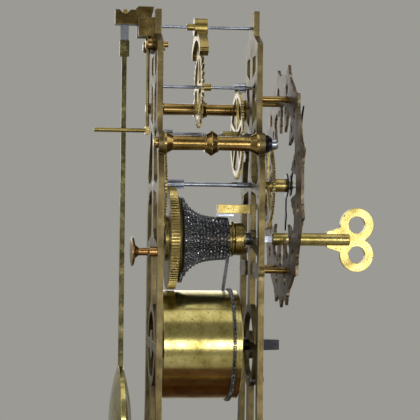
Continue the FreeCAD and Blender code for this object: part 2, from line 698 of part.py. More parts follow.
def make_base():
    """Two stepped boards in one block, the upper edge hollowed by a cove."""
    half_w, half_d = BASE_WIDTH / 2, BASE_DEPTH / 2
    lower = block(-half_w, half_w, -half_d, half_d, 0, BASE_LOWER_HEIGHT)
    upper = block(-half_w + BASE_STEP, half_w - BASE_STEP, -half_d + BASE_STEP, half_d - BASE_STEP,
                  BASE_LOWER_HEIGHT, BASE_HEIGHT)
    cove_z = BASE_LOWER_HEIGHT + BASE_COVE
    solid = joined([lower, upper])
    corner_w, corner_d = half_w - BASE_STEP, half_d - BASE_STEP
    for side in (-1, 1):
        solid = solid.cut(Part.makeCylinder(BASE_COVE / 2, BASE_WIDTH, V(-half_w, side * corner_d, cove_z),
                                            X_AXIS))
        solid = solid.cut(Part.makeCylinder(BASE_COVE / 2, BASE_DEPTH, V(side * corner_w, -half_d, cove_z),
                                            Y_AXIS))
    bolts = [Part.makeCylinder(FOOT_BOLT_R, BASE_HEIGHT / 2 + CUT_OVERRUN, V(x, y, BASE_HEIGHT / 2))
             for x, y in foot_bolt_places()]
    return solid.cut(Part.makeCompound(bolts))


def foot_bolt_places():
    x = FOOT_HALF - FOOT_WIDTH / 2
    y = OUT + FOOT_LUG_DEPTH / 2
    return [(sx * x, sy * y) for sx in (-1, 1) for sy in (-1, 1)]


def make_foot_bolts():
    bolts = []
    for x, y in foot_bolt_places():
        shank = Part.makeCylinder(FOOT_BOLT_R, BASE_HEIGHT / 2 + FOOT_LUG_HEIGHT, V(x, y, BASE_HEIGHT / 2))
        head = Part.makeCylinder(FOOT_BOLT_HEAD_R, FOOT_BOLT_HEAD, V(x, y, BASE_HEIGHT + FOOT_LUG_HEIGHT))
        bolts.append(joined([shank, head]))
    return Part.makeCompound(bolts)


def make_pillar(x, z, body_r, knop_r):
    """A turned pillar: flared ends, a slightly tapered body, a ridged knop, and a riveted end at the back."""
    step = knop_r - body_r
    knop_half = step * 1.25
    fillet_r = body_r + step * 0.3
    waist_r = body_r * PILLAR_WAIST_SHARE
    half = [
        (0.0, knop_r),
        (step, fillet_r),
        (knop_half, fillet_r),
        (knop_half + TINY, waist_r),
        (IN - PILLAR_FLARE, body_r),
        (IN - PILLAR_FLARE / 4, PILLAR_COLLAR_R),
        (IN, PILLAR_COLLAR_R),
    ]
    profile = [(-y, r) for y, r in reversed(half)] + half[1:]
    stud = disc(x, z, PILLAR_STUD_R, -OUT - WASHER_THICK - NUT_LENGTH, OUT + TINY)
    rivet = turned(x, z, [(OUT, NUT_R), (OUT + NUT_LENGTH / 2, NUT_R), (OUT + NUT_LENGTH * 0.8, NUT_R * 0.75)])
    return joined([turned(x, z, profile), stud, rivet])


def pillar_places():
    return [(-MIDDLE_PILLAR_X, MIDDLE_PILLAR_Z), (UPPER_PILLAR_X, UPPER_PILLAR_Z),
            (-LOWER_PILLAR_X, LOWER_PILLAR_Z), (LOWER_PILLAR_X, LOWER_PILLAR_Z)]


def make_pillar_washers():
    """A domed black steel washer in front of the front plate on each pillar stud."""
    parts = []
    for x, z in pillar_places():
        face, tip = -OUT, -OUT - WASHER_THICK
        middle = -OUT - WASHER_THICK / 2
        dome = turned(x, z, [(face, WASHER_R), (middle, WASHER_R * 0.92), (tip, WASHER_R * 0.66)])
        parts.append(dome.cut(disc(x, z, PILLAR_STUD_R, face + CUT_OVERRUN, tip - CUT_OVERRUN)))
    return Part.makeCompound(parts)


def make_pillar_nuts():
    """The round steel nuts in front of the washers."""
    parts = []
    for x, z in pillar_places():
        start, end = -OUT - WASHER_THICK, -OUT - WASHER_THICK - NUT_LENGTH
        nut = turned(x, z, [(start, NUT_R), (end + NUT_R / 5, NUT_R), (end, NUT_R * 0.85)])
        parts.append(nut.cut(disc(x, z, PILLAR_STUD_R, start + CUT_OVERRUN, end - CUT_OVERRUN)))
    return Part.makeCompound(parts)


def make_barrel_drum():
    """Open drum with its back wall; the lid closes the front."""
    shell = disc(0, Z_BARREL, BARREL_R, BARREL_FRONT + BARREL_LID, BARREL_BACK)
    hollow = disc(0, Z_BARREL, BARREL_R - BARREL_WALL, BARREL_FRONT, BARREL_BACK - BARREL_LID)
    bore = disc(0, Z_BARREL, BARREL_ARBOR_R + PIVOT_CLEAR, BARREL_FRONT, BARREL_BACK + CUT_OVERRUN)
    return shell.cut(hollow).cut(bore)


def make_barrel_lid():
    """Snap-in lid with a raised rim and a boss."""
    start, end = BARREL_FRONT + BARREL_LID, BARREL_FRONT
    lid = turned(0, Z_BARREL, [(start, BARREL_R), (end + BARREL_LID / 4, BARREL_R), (end, BARREL_R - BARREL_LID / 4)])
    hollow = disc(0, Z_BARREL, BARREL_R - 2 * BARREL_WALL, end - CUT_OVERRUN, end + BARREL_LID / 3)
    bore = disc(0, Z_BARREL, BARREL_ARBOR_R + PIVOT_CLEAR, end - CUT_OVERRUN, start + CUT_OVERRUN)
    return lid.cut(hollow).cut(bore)


def make_barrel_arbor():
    """Steel arbor: pivots, the hub that the mainspring hooks on, and the set-up square in front."""
    hub_back, hub_front = BARREL_BACK - BARREL_LID - END_SHAKE, BARREL_FRONT + BARREL_LID + END_SHAKE
    solids = [
        disc(0, Z_BARREL, BARREL_ARBOR_R, -OUT, OUT),
        disc(0, Z_BARREL, BARREL_HUB_R, hub_front, hub_back),
        setup_square(-OUT, -OUT - BARREL_SQUARE_LENGTH),
    ]
    return joined(solids)


def setup_square(y0, y1):
    """Square of the barrel arbor, a little smaller at its end."""
    near, far = BARREL_SQUARE / 2, BARREL_SQUARE_END / 2
    wires = []
    for y, half in ((y0, near), (y1, far)):
        corners = [V(sx * half, y, Z_BARREL + sz * half) for sx, sz in ((-1, -1), (1, -1), (1, 1), (-1, 1))]
        wires.append(Part.makePolygon(corners + [corners[0]]))
    return Part.makeLoft(wires, True, True)


def make_mainspring():
    """Spiral steel strip from the arbor's hub to the drum's wall, as linked half rings."""
    y0, y1 = BARREL_FRONT + BARREL_LID + CUT_OVERRUN, BARREL_BACK - BARREL_LID - CUT_OVERRUN
    outer = BARREL_R - BARREL_WALL - END_SHAKE
    radius = BARREL_HUB_R + PIVOT_CLEAR + SPRING_STRIP
    rise = 2 * (outer - radius) / (2 * SPRING_TURNS)
    edges_out, edges_in = [], []
    for k in range(2 * SPRING_TURNS):
        side = 1 if k % 2 == 0 else -1
        offset = 0.0 if k % 2 == 0 else -rise / 2
        ends = [(offset - side * radius, Z_BARREL), (offset, Z_BARREL + side * radius),
                (offset + side * radius, Z_BARREL)]
        inner = radius - SPRING_STRIP
        inner_ends = [(offset - side * inner, Z_BARREL), (offset, Z_BARREL + side * inner),
                      (offset + side * inner, Z_BARREL)]
        edges_out.append(arc_through(*ends))
        edges_in.append(arc_through(*inner_ends))
        radius += rise / 2
    first_out, first_in = edges_out[0].Vertexes[0].Point, edges_in[0].Vertexes[0].Point
    last_out, last_in = edges_out[-1].Vertexes[-1].Point, edges_in[-1].Vertexes[-1].Point
    closing = [Part.LineSegment(last_out, last_in).toShape(), Part.LineSegment(first_in, first_out).toShape()]
    wire = Part.Wire(Part.__sortEdges__(edges_out + edges_in + closing))
    solid = Part.Face(wire).extrude(V(0, y1 - y0, 0))
    solid.translate(V(0, y0, 0))
    return solid


def make_setup_ratchet():
    """Ratchet on the barrel arbor's square that holds the mainspring's set-up."""
    y0, y1 = -OUT, -OUT - SETUP_RATCHET_THICK
    points = []
    for k in range(SETUP_RATCHET_TEETH):
        a = 2 * math.pi * k / SETUP_RATCHET_TEETH
        b = a + 2 * math.pi * RATCHET_SLOPE_SHARE / SETUP_RATCHET_TEETH
        points.append((SETUP_RATCHET_R * math.cos(a), Z_BARREL + SETUP_RATCHET_R * math.sin(a)))
        inner = SETUP_RATCHET_R * RATCHET_ROOT_SHARE
        points.append((inner * math.cos(b), Z_BARREL + inner * math.sin(b)))
    blank = sheet(points, y0, y1)
    return blank.cut(setup_square(-OUT, -OUT - BARREL_SQUARE_LENGTH))


def make_setup_click():
    """Click pivoted on its screw, its nose in the ratchet's teeth."""
    y0, y1 = -OUT, -OUT - SETUP_RATCHET_THICK
    px, pz = -CLICK_X, Z_BARREL - CLICK_DROP
    gap = math.hypot(CLICK_X, CLICK_DROP) - SETUP_RATCHET_R - PIVOT_CLEAR
    ux, uz = CLICK_X / math.hypot(CLICK_X, CLICK_DROP), CLICK_DROP / math.hypot(CLICK_X, CLICK_DROP)
    tip = (px + ux * gap, pz + uz * gap)
    wing = CLICK_SCREW_R
    body = sheet([(px - uz * wing, pz + ux * wing), tip, (px + uz * wing, pz - ux * wing)], y0, y1)
    tail = bar(px, pz, px - ux * wing * 2, pz - uz * wing * 2, wing, y0, y1)
    solid = joined([body, disc(px, pz, wing * 1.2, y0, y1), tail])
    return solid.cut(disc(px, pz, CLICK_SCREW_R / 2, y0 + CUT_OVERRUN, y1 - CUT_OVERRUN))


def make_setup_click_screw():
    px, pz = -CLICK_X, Z_BARREL - CLICK_DROP
    start = -OUT - SETUP_RATCHET_THICK
    shank = disc(px, pz, CLICK_SCREW_R / 2, -IN, start)
    head = turned(px, pz, [(start, CLICK_SCREW_R), (start - CLICK_SCREW_R / 2, CLICK_SCREW_R),
                           (start - CLICK_SCREW_R * 0.75, CLICK_SCREW_R * 0.7)])
    return joined([shank, head])


def fusee_radius(share):
    """Radius of the fusee's surface at a share of its length from the great wheel."""
    curve = math.exp(-FUSEE_CURVE_SHARE * share)
    end = math.exp(-FUSEE_CURVE_SHARE)
    return FUSEE_SMALL_R + (FUSEE_LARGE_R - FUSEE_SMALL_R) * (curve - end) / (1 - end)


def fusee_slope(share):
    step = 1e-4
    low, high = max(0.0, share - step), min(1.0, share + step)
    return (fusee_radius(high) - fusee_radius(low)) / ((high - low) * FUSEE_LENGTH)


def fusee_point(share):
    """Place along Y and radius of the chain's centre line where it lies on the fusee."""
    slope = fusee_slope(share)
    reach = (CHAIN_R + CHAIN_SEAT) / math.hypot(1, slope)
    y = FUSEE_BACK - CHAIN_R - share * (FUSEE_LENGTH - 2 * CHAIN_R) + slope * reach
    return y, fusee_radius(share) + reach


def make_fusee_cone():
    """Trumpet-shaped fusee with its back flange, bored for the arbor."""
    count = 2 * FUSEE_TURNS
    profile = [(FUSEE_BACK, FUSEE_LARGE_R)]
    for k in range(count + 1):
        share = k / count
        slope = fusee_slope(share)
        y = FUSEE_BACK - CHAIN_R - share * (FUSEE_LENGTH - 2 * CHAIN_R)
        profile.append((y, fusee_radius(share) - CHAIN_SEAT * math.hypot(1, slope)))
    profile.append((FUSEE_FRONT, profile[-1][1]))
    solid = turned(0, Z_FUSEE, profile)
    bore = disc(0, Z_FUSEE, FUSEE_ARBOR_R, FUSEE_FRONT - CUT_OVERRUN, FUSEE_BACK + CUT_OVERRUN)
    return solid.cut(bore)


def make_fusee_cap():
    """Brass drum on the fusee's small end, with the snail of the stop work behind it."""
    start = FUSEE_FRONT
    end = start - FUSEE_CAP_LENGTH
    snail_back = start - SNAIL_GAP
    snail_front = snail_back - SNAIL_THICK
    neck_r = FUSEE_CAP_R - FUSEE_CAP_STEP
    corner = FUSEE_CAP_STEP / 2
    boss = turned(0, Z_FUSEE, [
        (start, neck_r),
        (snail_front - corner, neck_r),
        (snail_front - 2 * corner, FUSEE_CAP_R),
        (end + 2 * corner, FUSEE_CAP_R),
        (end + corner, neck_r),
        (end, neck_r),
    ])
    nose_x = SNAIL_R + SNAIL_NOSE_RISE - SNAIL_NOSE_WIDTH / 2
    snail = joined([disc(0, Z_FUSEE, SNAIL_R, snail_back, snail_front),
                    bar(0, Z_FUSEE, -nose_x, Z_FUSEE, SNAIL_NOSE_WIDTH, snail_back, snail_front)])
    bore = disc(0, Z_FUSEE, FUSEE_ARBOR_R, start + CUT_OVERRUN, end - CUT_OVERRUN)
    return joined([boss, snail]).cut(bore)


def make_fusee_arbor():
    """Steel arbor through both plates with the winding square in front."""
    collar_y = -IN + END_SHAKE
    solids = [
        disc(0, Z_FUSEE, FUSEE_ARBOR_R, -OUT, OUT),
        square_bar(0, Z_FUSEE, FUSEE_SQUARE, -OUT - FUSEE_SQUARE_LENGTH, -OUT),
        disc(0, Z_FUSEE, FUSEE_COLLAR_R, GREAT_BACK + COLLAR_THICK + END_SHAKE, IN - END_SHAKE),
        disc(0, Z_FUSEE, FUSEE_COLLAR_R, collar_y, FUSEE_FRONT - FUSEE_CAP_LENGTH),
    ]
    return joined(solids)


def make_fusee_ratchet():
    """Ratchet under the fusee that drives the great wheel through the clicks."""
    y0, y1 = FUSEE_BACK, FUSEE_BACK + RATCHET_THICK
    points = []
    for k in range(FUSEE_RATCHET_TEETH):
        a = 2 * math.pi * k / FUSEE_RATCHET_TEETH
        b = a + 2 * math.pi * RATCHET_SLOPE_SHARE / FUSEE_RATCHET_TEETH
        inner = FUSEE_RATCHET_R * RATCHET_ROOT_SHARE
        points.append((FUSEE_RATCHET_R * math.cos(a), Z_FUSEE + FUSEE_RATCHET_R * math.sin(a)))
        points.append((inner * math.cos(b), Z_FUSEE + inner * math.sin(b)))
    blank = sheet(points, y0, y1)
    return blank.cut(disc(0, Z_FUSEE, FUSEE_ARBOR_R, y0 - CUT_OVERRUN, y1 + CUT_OVERRUN))


def make_great_wheel():
    """Thick great wheel, loose on the fusee arbor: a plain back collar, and a hollow for the ratchet."""
    collar_back = GREAT_BACK + COLLAR_THICK
    blank = wheel_blank(Z_FUSEE, GREAT_TEETH, GREAT_MODULE, GREAT_FRONT, GREAT_BACK)
    collar = disc(0, Z_FUSEE, GREAT_COLLAR_R, GREAT_BACK, collar_back)
    bore = disc(0, Z_FUSEE, FUSEE_ARBOR_R + PIVOT_CLEAR, GREAT_FRONT - CUT_OVERRUN, collar_back + CUT_OVERRUN)
    recess = disc(0, Z_FUSEE, CLICK_RECESS_R, GREAT_FRONT - CUT_OVERRUN, GREAT_FRONT + RATCHET_RECESS)
    return joined([blank, collar]).cut(bore).cut(recess)


def make_maintaining_ring():
    """Thin brass flange in front of the great wheel, round the ratchet's hollow."""
    return ring(0, Z_FUSEE, MAINTAIN_R, CLICK_RECESS_R, GREAT_FRONT, GREAT_FRONT - MAINTAIN_THICK)


def make_ratchet_clicks():
    """Two clicks on the great wheel, clear of the ratchet's teeth by the running gap."""
    tip = FUSEE_RATCHET_R + END_SHAKE
    tail = CLICK_RECESS_R - END_SHAKE
    width = FUSEE_ARBOR_R
    click = sheet([(tip, -width / 2), (tail, -width), (tail, width), (tip, width / 2)],
                  FUSEE_BACK + END_SHAKE, GREAT_FRONT + RATCHET_RECESS)
    click.translate(V(0, 0, Z_FUSEE))
    return Part.makeCompound([click, spin(click, 0, Z_FUSEE, HALF_TURN)])


def biarc(p0, t0, p1, t1):
    """Two tangent arcs from p0 heading t0 to p1 heading t1."""
    v = p1 - p0
    t = t0 + t1
    a = 2 * (1 - t0.dot(t1))
    b = v.dot(t)
    c = v.dot(v)
    if abs(a) < TINY ** 2:
        d = c / (4 * v.dot(t1))
    else:
        d = (-b + math.sqrt(b * b + a * c)) / a
    joint = (p0 + t0 * d + p1 - t1 * d) * 0.5
    return [arc_heading(p0, t0, joint), arc_heading(p1, t1 * -1, joint)]


def arc_heading(start, heading, end):
    """Arc from start, leaving along heading, to end; a straight run where they are in line."""
    chord = end - start
    along = chord.dot(heading)
    side = chord - heading * along
    if side.Length < TINY * chord.Length:
        return Part.LineSegment(start, end).toShape()
    radius = chord.dot(chord) / (2 * side.Length)
    centre = start + side * (radius / side.Length)
    middle = (start + end) * 0.5 - centre
    middle.normalize()
    if along < 0:
        middle = middle * -1
    return Part.Arc(start, centre + middle * radius, end).toShape()


def tube_along(points, headings, radius):
    """A round wire along biarcs through the points."""
    edges = []
    for k in range(len(points) - 1):
        first, second = biarc(points[k], headings[k], points[k + 1], headings[k + 1])
        edges += [first, second]
    path = Part.Wire(Part.__sortEdges__(edges))
    circle = Part.Wire(Part.makeCircle(radius, points[0], headings[0]))
    return path.makePipeShell([circle], True, False)


def headings_along(function, steps):
    """Unit tangents of a curve at some of its shares."""
    headings = []
    delta = TINY * 10
    for s in steps:
        heading = function(min(1.0, s + delta)) - function(max(0.0, s - delta))
        heading.normalize()
        headings.append(heading)
    return headings


def chain_geometry():
    """The crossed run from the fusee's small end to the barrel: angles and radii in the XZ plane."""
    y, fusee_r = fusee_point(1.0)
    barrel_r = BARREL_R + CHAIN_R + CHAIN_SEAT
    lean = math.asin((fusee_r + barrel_r) / BARREL_TO_FUSEE)
    return y, fusee_r, barrel_r, lean


def fusee_chain_at(share):
    """Chain's centre line on the fusee, from the hook at the large end to where it leaves."""
    lean = chain_geometry()[3]
    y, r = fusee_point(share)
    leave = math.pi + lean
    a = leave - (1 - share) * FUSEE_TURNS * 2 * math.pi
    return V(r * math.cos(a), y, Z_FUSEE + r * math.sin(a))


def barrel_chain_at(share):
    """Chain's centre line on the barrel, one turn from where it arrives to its hook."""
    y_end, _, r, lean = chain_geometry()
    a = lean - share * 2 * math.pi
    pitch = FUSEE_LENGTH / FUSEE_TURNS
    return V(r * math.cos(a), y_end - share * pitch, Z_BARREL + r * math.sin(a))


def wound_chain(function, turns):
    steps = [k / (4 * turns) for k in range(4 * turns + 1)]
    points = [function(s) for s in steps]
    return tube_along(points, headings_along(function, steps), CHAIN_R)


def make_fusee_chain():
    return wound_chain(fusee_chain_at, FUSEE_TURNS)


def make_barrel_chain():
    return wound_chain(barrel_chain_at, 1)


def make_chain_run():
    """The straight run between fusee and barrel, clear of both wound ends."""
    start, end = fusee_chain_at(1.0), barrel_chain_at(0.0)
    heading = end - start
    heading.normalize()
    start = start + heading * END_SHAKE
    end = end - heading * END_SHAKE
    return Part.makeCylinder(CHAIN_R, (end - start).Length, start, heading)


def make_chain_hook():
    """The pin that carries the chain's last link on the barrel, clear of its end."""
    heading = headings_along(barrel_chain_at, [1.0])[0]
    start = barrel_chain_at(1.0) + heading * PIVOT_CLEAR
    return Part.makeCylinder(CHAIN_R, 3 * CHAIN_R, start, heading)


def print_chain_gap():
    """Least gap of the wound chain to itself, measured on points."""
    count = 24 * FUSEE_TURNS
    points = [fusee_chain_at(k / count) for k in range(count + 1)]
    least = min((points[i] - points[j]).Length
                for i in range(0, count - 16, 3) for j in range(i + 16, min(i + 34, count)))
    print("least gap of the chain to itself, mm:", round(least - 2 * CHAIN_R, 3))


def plain_arbor(z, front_pivot_r, back_pivot_r, extra):
    """Steel arbor between the plates, with a pivot in each."""
    solids = [
        disc(0, z, ARBOR_R, -IN + END_SHAKE, IN - END_SHAKE),
        disc(0, z, front_pivot_r, -OUT, -IN + END_SHAKE),
        disc(0, z, back_pivot_r, IN - END_SHAKE, OUT),
    ]
    return joined(solids + extra)


def make_centre_arbor():
    back = CENTRE_WHEEL_BACK - WHEEL_THICK
    solids = [
        disc(0, Z_CENTRE, CENTRE_ARBOR_R, ARBOR_NOSE, OUT),
        pinion(Z_CENTRE, CENTRE_PINION_TEETH, GREAT_MODULE, CENTRE_PINION_FRONT, back),
        disc(0, Z_CENTRE, CENTRE_SHOULDER_R, -IN + END_SHAKE, -IN + END_SHAKE + CENTRE_SHOULDER_LENGTH),
    ]
    return joined(solids)


def crossed_wheel(z, teeth, module, back, bore_r, spokes):
    front = back - WHEEL_THICK
    blank = wheel_blank(z, teeth, module, front, back)
    return spoked(blank, 0, z, root_radius(teeth, module), bore_r, HUB_R, spokes, front, back)


def make_centre_wheel():
    return crossed_wheel(Z_CENTRE, CENTRE_TEETH, CENTRE_MODULE, CENTRE_WHEEL_BACK, CENTRE_ARBOR_R, WHEEL_SPOKES)


def make_third_arbor():
    shaft = pinion(Z_THIRD, THIRD_PINION_TEETH, CENTRE_MODULE, THIRD_PINION_FRONT, IN - END_SHAKE)
    return plain_arbor(Z_THIRD, PIVOT_R, PIVOT_R, [shaft])


def make_third_wheel():
    wheel = crossed_wheel(Z_THIRD, THIRD_TEETH, THIRD_MODULE, THIRD_WHEEL_BACK, ARBOR_R, WHEEL_SPOKES)
    collet = ring(0, Z_THIRD, COLLET_R, ARBOR_R, THIRD_WHEEL_BACK, THIRD_WHEEL_BACK + 4 * COLLET_R)
    return joined([wheel, collet])


def make_escape_arbor():
    shaft = pinion(Z_ESCAPE, ESCAPE_PINION_TEETH, THIRD_MODULE, ESCAPE_PINION_FRONT, ESCAPE_PINION_BACK)
    return plain_arbor(Z_ESCAPE, PIVOT_R, PIVOT_R, [shaft])


def make_escape_wheel():
    """Recoil escape wheel: slanting pointed teeth, crossed out with four spokes."""
    front = ESCAPE_WHEEL_BACK - WHEEL_THICK
    root = ESCAPE_R - ESCAPE_TOOTH_DEPTH
    pitch = 2 * math.pi / ESCAPE_TEETH
    points = []
    for k in range(ESCAPE_TEETH):
        middle = math.pi / 2 + k * pitch
        for rise, across in ESCAPE_TOOTH_SHARES:
            r, a = root + rise * ESCAPE_TOOTH_DEPTH, middle + across * pitch
            points.append((r * math.cos(a), Z_ESCAPE + r * math.sin(a)))
    blank = sheet(points, front, ESCAPE_WHEEL_BACK)
    wheel = spoked(blank, 0, Z_ESCAPE, root, ARBOR_R, HUB_R, SMALL_WHEEL_SPOKES, front, ESCAPE_WHEEL_BACK,
                   rim=RIM_WIDTH * 0.7)
    collet = ring(0, Z_ESCAPE, COLLET_R, ARBOR_R, front, front - 3 * COLLET_R)
    return joined([wheel, collet])


def make_pallet_arbor():
    """Steel arbor that passes the back plate and carries the crutch behind it."""
    solids = [
        disc(0, Z_PALLET, ARBOR_R, -IN + END_SHAKE, CRUTCH_Y),
        disc(0, Z_PALLET, PIVOT_R, -OUT, -IN + END_SHAKE),
    ]
    return joined(solids)


def make_anchor():
    """Anchor: a thick hub, two arms that taper from it, and a tapered nib at each end."""
    back, front = ANCHOR_BACK, ANCHOR_BACK - ANCHOR_THICK
    half = math.radians(ANCHOR_SPAN / 2)
    crown = ESCAPE_TO_PALLET - ANCHOR_HUB_R / 2
    outer, inner = [
        [(side * r * math.sin(half), Z_ESCAPE + r * math.cos(half)) for side in (-1, 1)]
        for r in (ANCHOR_OUTER_R, ANCHOR_INNER_R)
    ]
    band = sheet_of([arc_through(outer[0], (0, Z_ESCAPE + crown), outer[1]), line_to(outer[1], inner[1]),
                     arc_through(inner[1], (0, Z_ESCAPE + ANCHOR_INNER_R), inner[0]), line_to(inner[0], outer[0])],
                    front, back)
    hub_front = ANCHOR_BACK + (ANCHOR_HUB_THICK - ANCHOR_THICK) / 2 - ANCHOR_HUB_THICK
    hub = disc(0, Z_PALLET, ANCHOR_HUB_R, hub_front, hub_front + ANCHOR_HUB_THICK)
    collet = disc(0, Z_PALLET, COLLET_R, hub_front, hub_front + ANCHOR_HUB_THICK + 2 * COLLET_R)
    solids = [band, hub, collet]
    tip_r = ESCAPE_R + NIB_CLEAR
    root_r = (ANCHOR_INNER_R + ANCHOR_OUTER_R) / 2
    for side in (-1, 1):
        along = (math.sin(side * half), math.cos(side * half))
        across = (along[1], -along[0])
        nib = [(along[0] * r + across[0] * w, Z_ESCAPE + along[1] * r + across[1] * w)
               for r, w in ((root_r, -NIB_ROOT / 2), (tip_r, -NIB_TIP / 2),
                            (tip_r, NIB_TIP / 2), (root_r, NIB_ROOT / 2))]
        solids.append(sheet(nib, front, back))
    return joined(solids).cut(disc(0, Z_PALLET, ARBOR_R, hub_front - CUT_OVERRUN, back + 4 * COLLET_R))


def make_crutch():
    """Brass crutch rod hanging from the pallet arbor, with a cross piece for its pins."""
    front = CRUTCH_Y - CRUTCH_THICK
    hub = ring(0, Z_PALLET, ARBOR_R * 3, ARBOR_R, front, CRUTCH_Y)
    rod = Part.makeCylinder(CRUTCH_R, Z_PALLET - CRUTCH_PIN_Z - 2 * ARBOR_R,
                            V(0, CRUTCH_Y - CRUTCH_THICK / 2, CRUTCH_PIN_Z))
    reach = crutch_pin_x() + 2 * CRUTCH_PIN_R
    foot = block(-reach, reach, front, CRUTCH_Y, CRUTCH_PIN_Z - 2 * CRUTCH_PIN_R, CRUTCH_PIN_Z + 2 * CRUTCH_PIN_R)
    return joined([hub, rod, foot])


def crutch_pin_x():
    return ROD_WIDTH / 2 + CRUTCH_GAP + CRUTCH_PIN_R


def make_crutch_pins():
    """The two long pins that pass one each side of the pendulum rod."""
    return Part.makeCompound([disc(side * crutch_pin_x(), CRUTCH_PIN_Z, CRUTCH_PIN_R, CRUTCH_Y, CRUTCH_PIN_END)
                              for side in (-1, 1)])


def suspension_top():
    return Z_PALLET + COCK_LIFT - PIVOT_CLEAR


def make_suspension_spring():
    top = suspension_top()
    return block(-SPRING_THICK / 2, SPRING_THICK / 2, ROD_Y - SPRING_WIDTH / 2, ROD_Y + SPRING_WIDTH / 2,
                 top - SPRING_LENGTH, top)


def make_pendulum_block():
    """Brass block that grips the spring above the rod."""
    top = suspension_top() - SPRING_LENGTH
    return block(-BLOCK_WIDTH / 2, BLOCK_WIDTH / 2, ROD_Y - BLOCK_DEPTH / 2, ROD_Y + BLOCK_DEPTH / 2,
                 top - BLOCK_HEIGHT, top)


def make_pendulum_rod():
    """Flat brass rod that ends in the rating screw below the bob."""
    top = suspension_top() - SPRING_LENGTH - BLOCK_HEIGHT
    bob_low = BOB_Z - BOB_R
    bottom = bob_low - NUT_DROP - RATING_NUT_HEIGHT - ROD_TAIL / 2
    flat = block(-ROD_WIDTH / 2, ROD_WIDTH / 2, ROD_Y - ROD_THICK / 2, ROD_Y + ROD_THICK / 2, bob_low, top)
    screw = Part.makeCylinder(ROD_SCREW_R, bob_low - bottom, V(0, ROD_Y, bottom))
    return joined([flat, screw])


def make_pendulum_bob():
    """Lens of two spherical caps with a narrow rim, slotted for the rod."""
    centre = BOB_Z
    half = BOB_THICK / 2
    rim = BOB_THICK / 10
    back = Part.Arc(V(0, ROD_Y + half, centre), V(BOB_R * 0.52, ROD_Y + half * 0.76, centre),
                    V(BOB_R, ROD_Y + rim, centre)).toShape()
    front = Part.Arc(V(BOB_R, ROD_Y - rim, centre), V(BOB_R * 0.52, ROD_Y - half * 0.76, centre),
                     V(0, ROD_Y - half, centre)).toShape()
    edges = [back, Part.LineSegment(V(BOB_R, ROD_Y + rim, centre), V(BOB_R, ROD_Y - rim, centre)).toShape(), front,
             Part.LineSegment(V(0, ROD_Y - half, centre), V(0, ROD_Y + half, centre)).toShape()]
    solid = Part.Face(Part.Wire(edges)).revolve(V(0, ROD_Y, centre), Y_AXIS, TURN)
    slot = block(-ROD_WIDTH / 2, ROD_WIDTH / 2, ROD_Y - ROD_THICK / 2, ROD_Y + ROD_THICK / 2,
                 centre - BOB_R - CUT_OVERRUN, centre + BOB_R + CUT_OVERRUN)
    return solid.cut(slot)


def make_rating_nut():
    top = BOB_Z - BOB_R - PIVOT_CLEAR
    nut = Part.makeCylinder(RATING_NUT_R, RATING_NUT_HEIGHT, V(0, ROD_Y, top - RATING_NUT_HEIGHT))
    neck = Part.makeCylinder(RATING_NUT_R * 0.6, NUT_DROP, V(0, ROD_Y, top - RATING_NUT_HEIGHT - NUT_DROP))
    bore = Part.makeCylinder(ROD_SCREW_R, 2 * (RATING_NUT_HEIGHT + NUT_DROP),
                             V(0, ROD_Y, top - 2 * (RATING_NUT_HEIGHT + NUT_DROP)))
    return joined([nut, neck]).cut(bore)


def clamp_pin_z():
    """Height of the pin's middle where it lies in the square V notch of the arm."""
    bottom = Z_PALLET + COCK_LIFT + COCK_ARM_HEIGHT - COCK_NOTCH_DEPTH
    return bottom + (CLAMP_PIN_R + PIVOT_CLEAR) * math.sqrt(2)


def side_sheet(points, half_width):
    """A piece with its outline in the YZ plane, centred on X = 0."""
    corners = [V(-half_width, y, z) for y, z in points]
    return Part.Face(Part.makePolygon(corners + [corners[0]])).extrude(V(2 * half_width, 0, 0))


def make_cock_arm():
    """Arm with a V notch on top for the pin, and the sloping bridge that ties it to the cheeks."""
    low = Z_PALLET + COCK_LIFT
    high = low + COCK_ARM_HEIGHT
    notch = COCK_NOTCH_DEPTH
    inside = COCK_BLOCK_BACK - COCK_CHEEK_THICK / 2
    arm = side_sheet([(inside, low), (COCK_ARM_END, low), (COCK_ARM_END, high), (ROD_Y + notch, high),
                      (ROD_Y, high - notch), (ROD_Y - notch, high), (inside, high)], COCK_ARM_WIDTH / 2)
    cheek_top = Z_PALLET + COCK_CHEEK_RISE
    top = Z_PALLET + COCK_RISE
    slope = (top - cheek_top) / 4
    bridge_low = cheek_top - END_SHAKE
    bridge = side_sheet([(OUT + COCK_FOOT_THICK, bridge_low), (COCK_BLOCK_BACK, bridge_low),
                         (COCK_BLOCK_BACK + slope, top - slope), (COCK_BLOCK_BACK, top),
                         (OUT + COCK_FOOT_THICK - slope, top), (OUT + COCK_FOOT_THICK, cheek_top)],
                        COCK_CHEEK_GAP / 2 + COCK_CHEEK_THICK / 2)
    return [arm, bridge]


def make_back_cock():
    """Cock behind the back plate: two cheeks beside the crutch, an arm for the pendulum and a screwed foot."""
    inner = COCK_CHEEK_GAP / 2
    outer = inner + COCK_CHEEK_THICK
    low = Z_PALLET - COCK_DROP
    foot_back = OUT + COCK_FOOT_THICK
    foot_low = cock_screw_z() - COCK_FOOT_HEIGHT / 2
    solids = make_cock_arm()
    for x0, x1 in ((-outer, -inner), (inner, outer)):
        solids.append(block(x0, x1, OUT, COCK_BLOCK_BACK, low, Z_PALLET + COCK_CHEEK_RISE))
        solids.append(block(x0, x1, OUT, foot_back, foot_low, low))
    half_foot = (COCK_FOOT_WIDTH - COCK_FOOT_HEIGHT) / 2
    solids.append(bar(-half_foot, cock_screw_z(), half_foot, cock_screw_z(), COCK_FOOT_HEIGHT, OUT, foot_back))
    cuts = [disc(side * COCK_SCREW_X, cock_screw_z(), COCK_SCREW_R, OUT - CUT_OVERRUN, foot_back + CUT_OVERRUN)
            for side in (-1, 1)]
    return joined(solids).cut(Part.makeCompound(cuts))


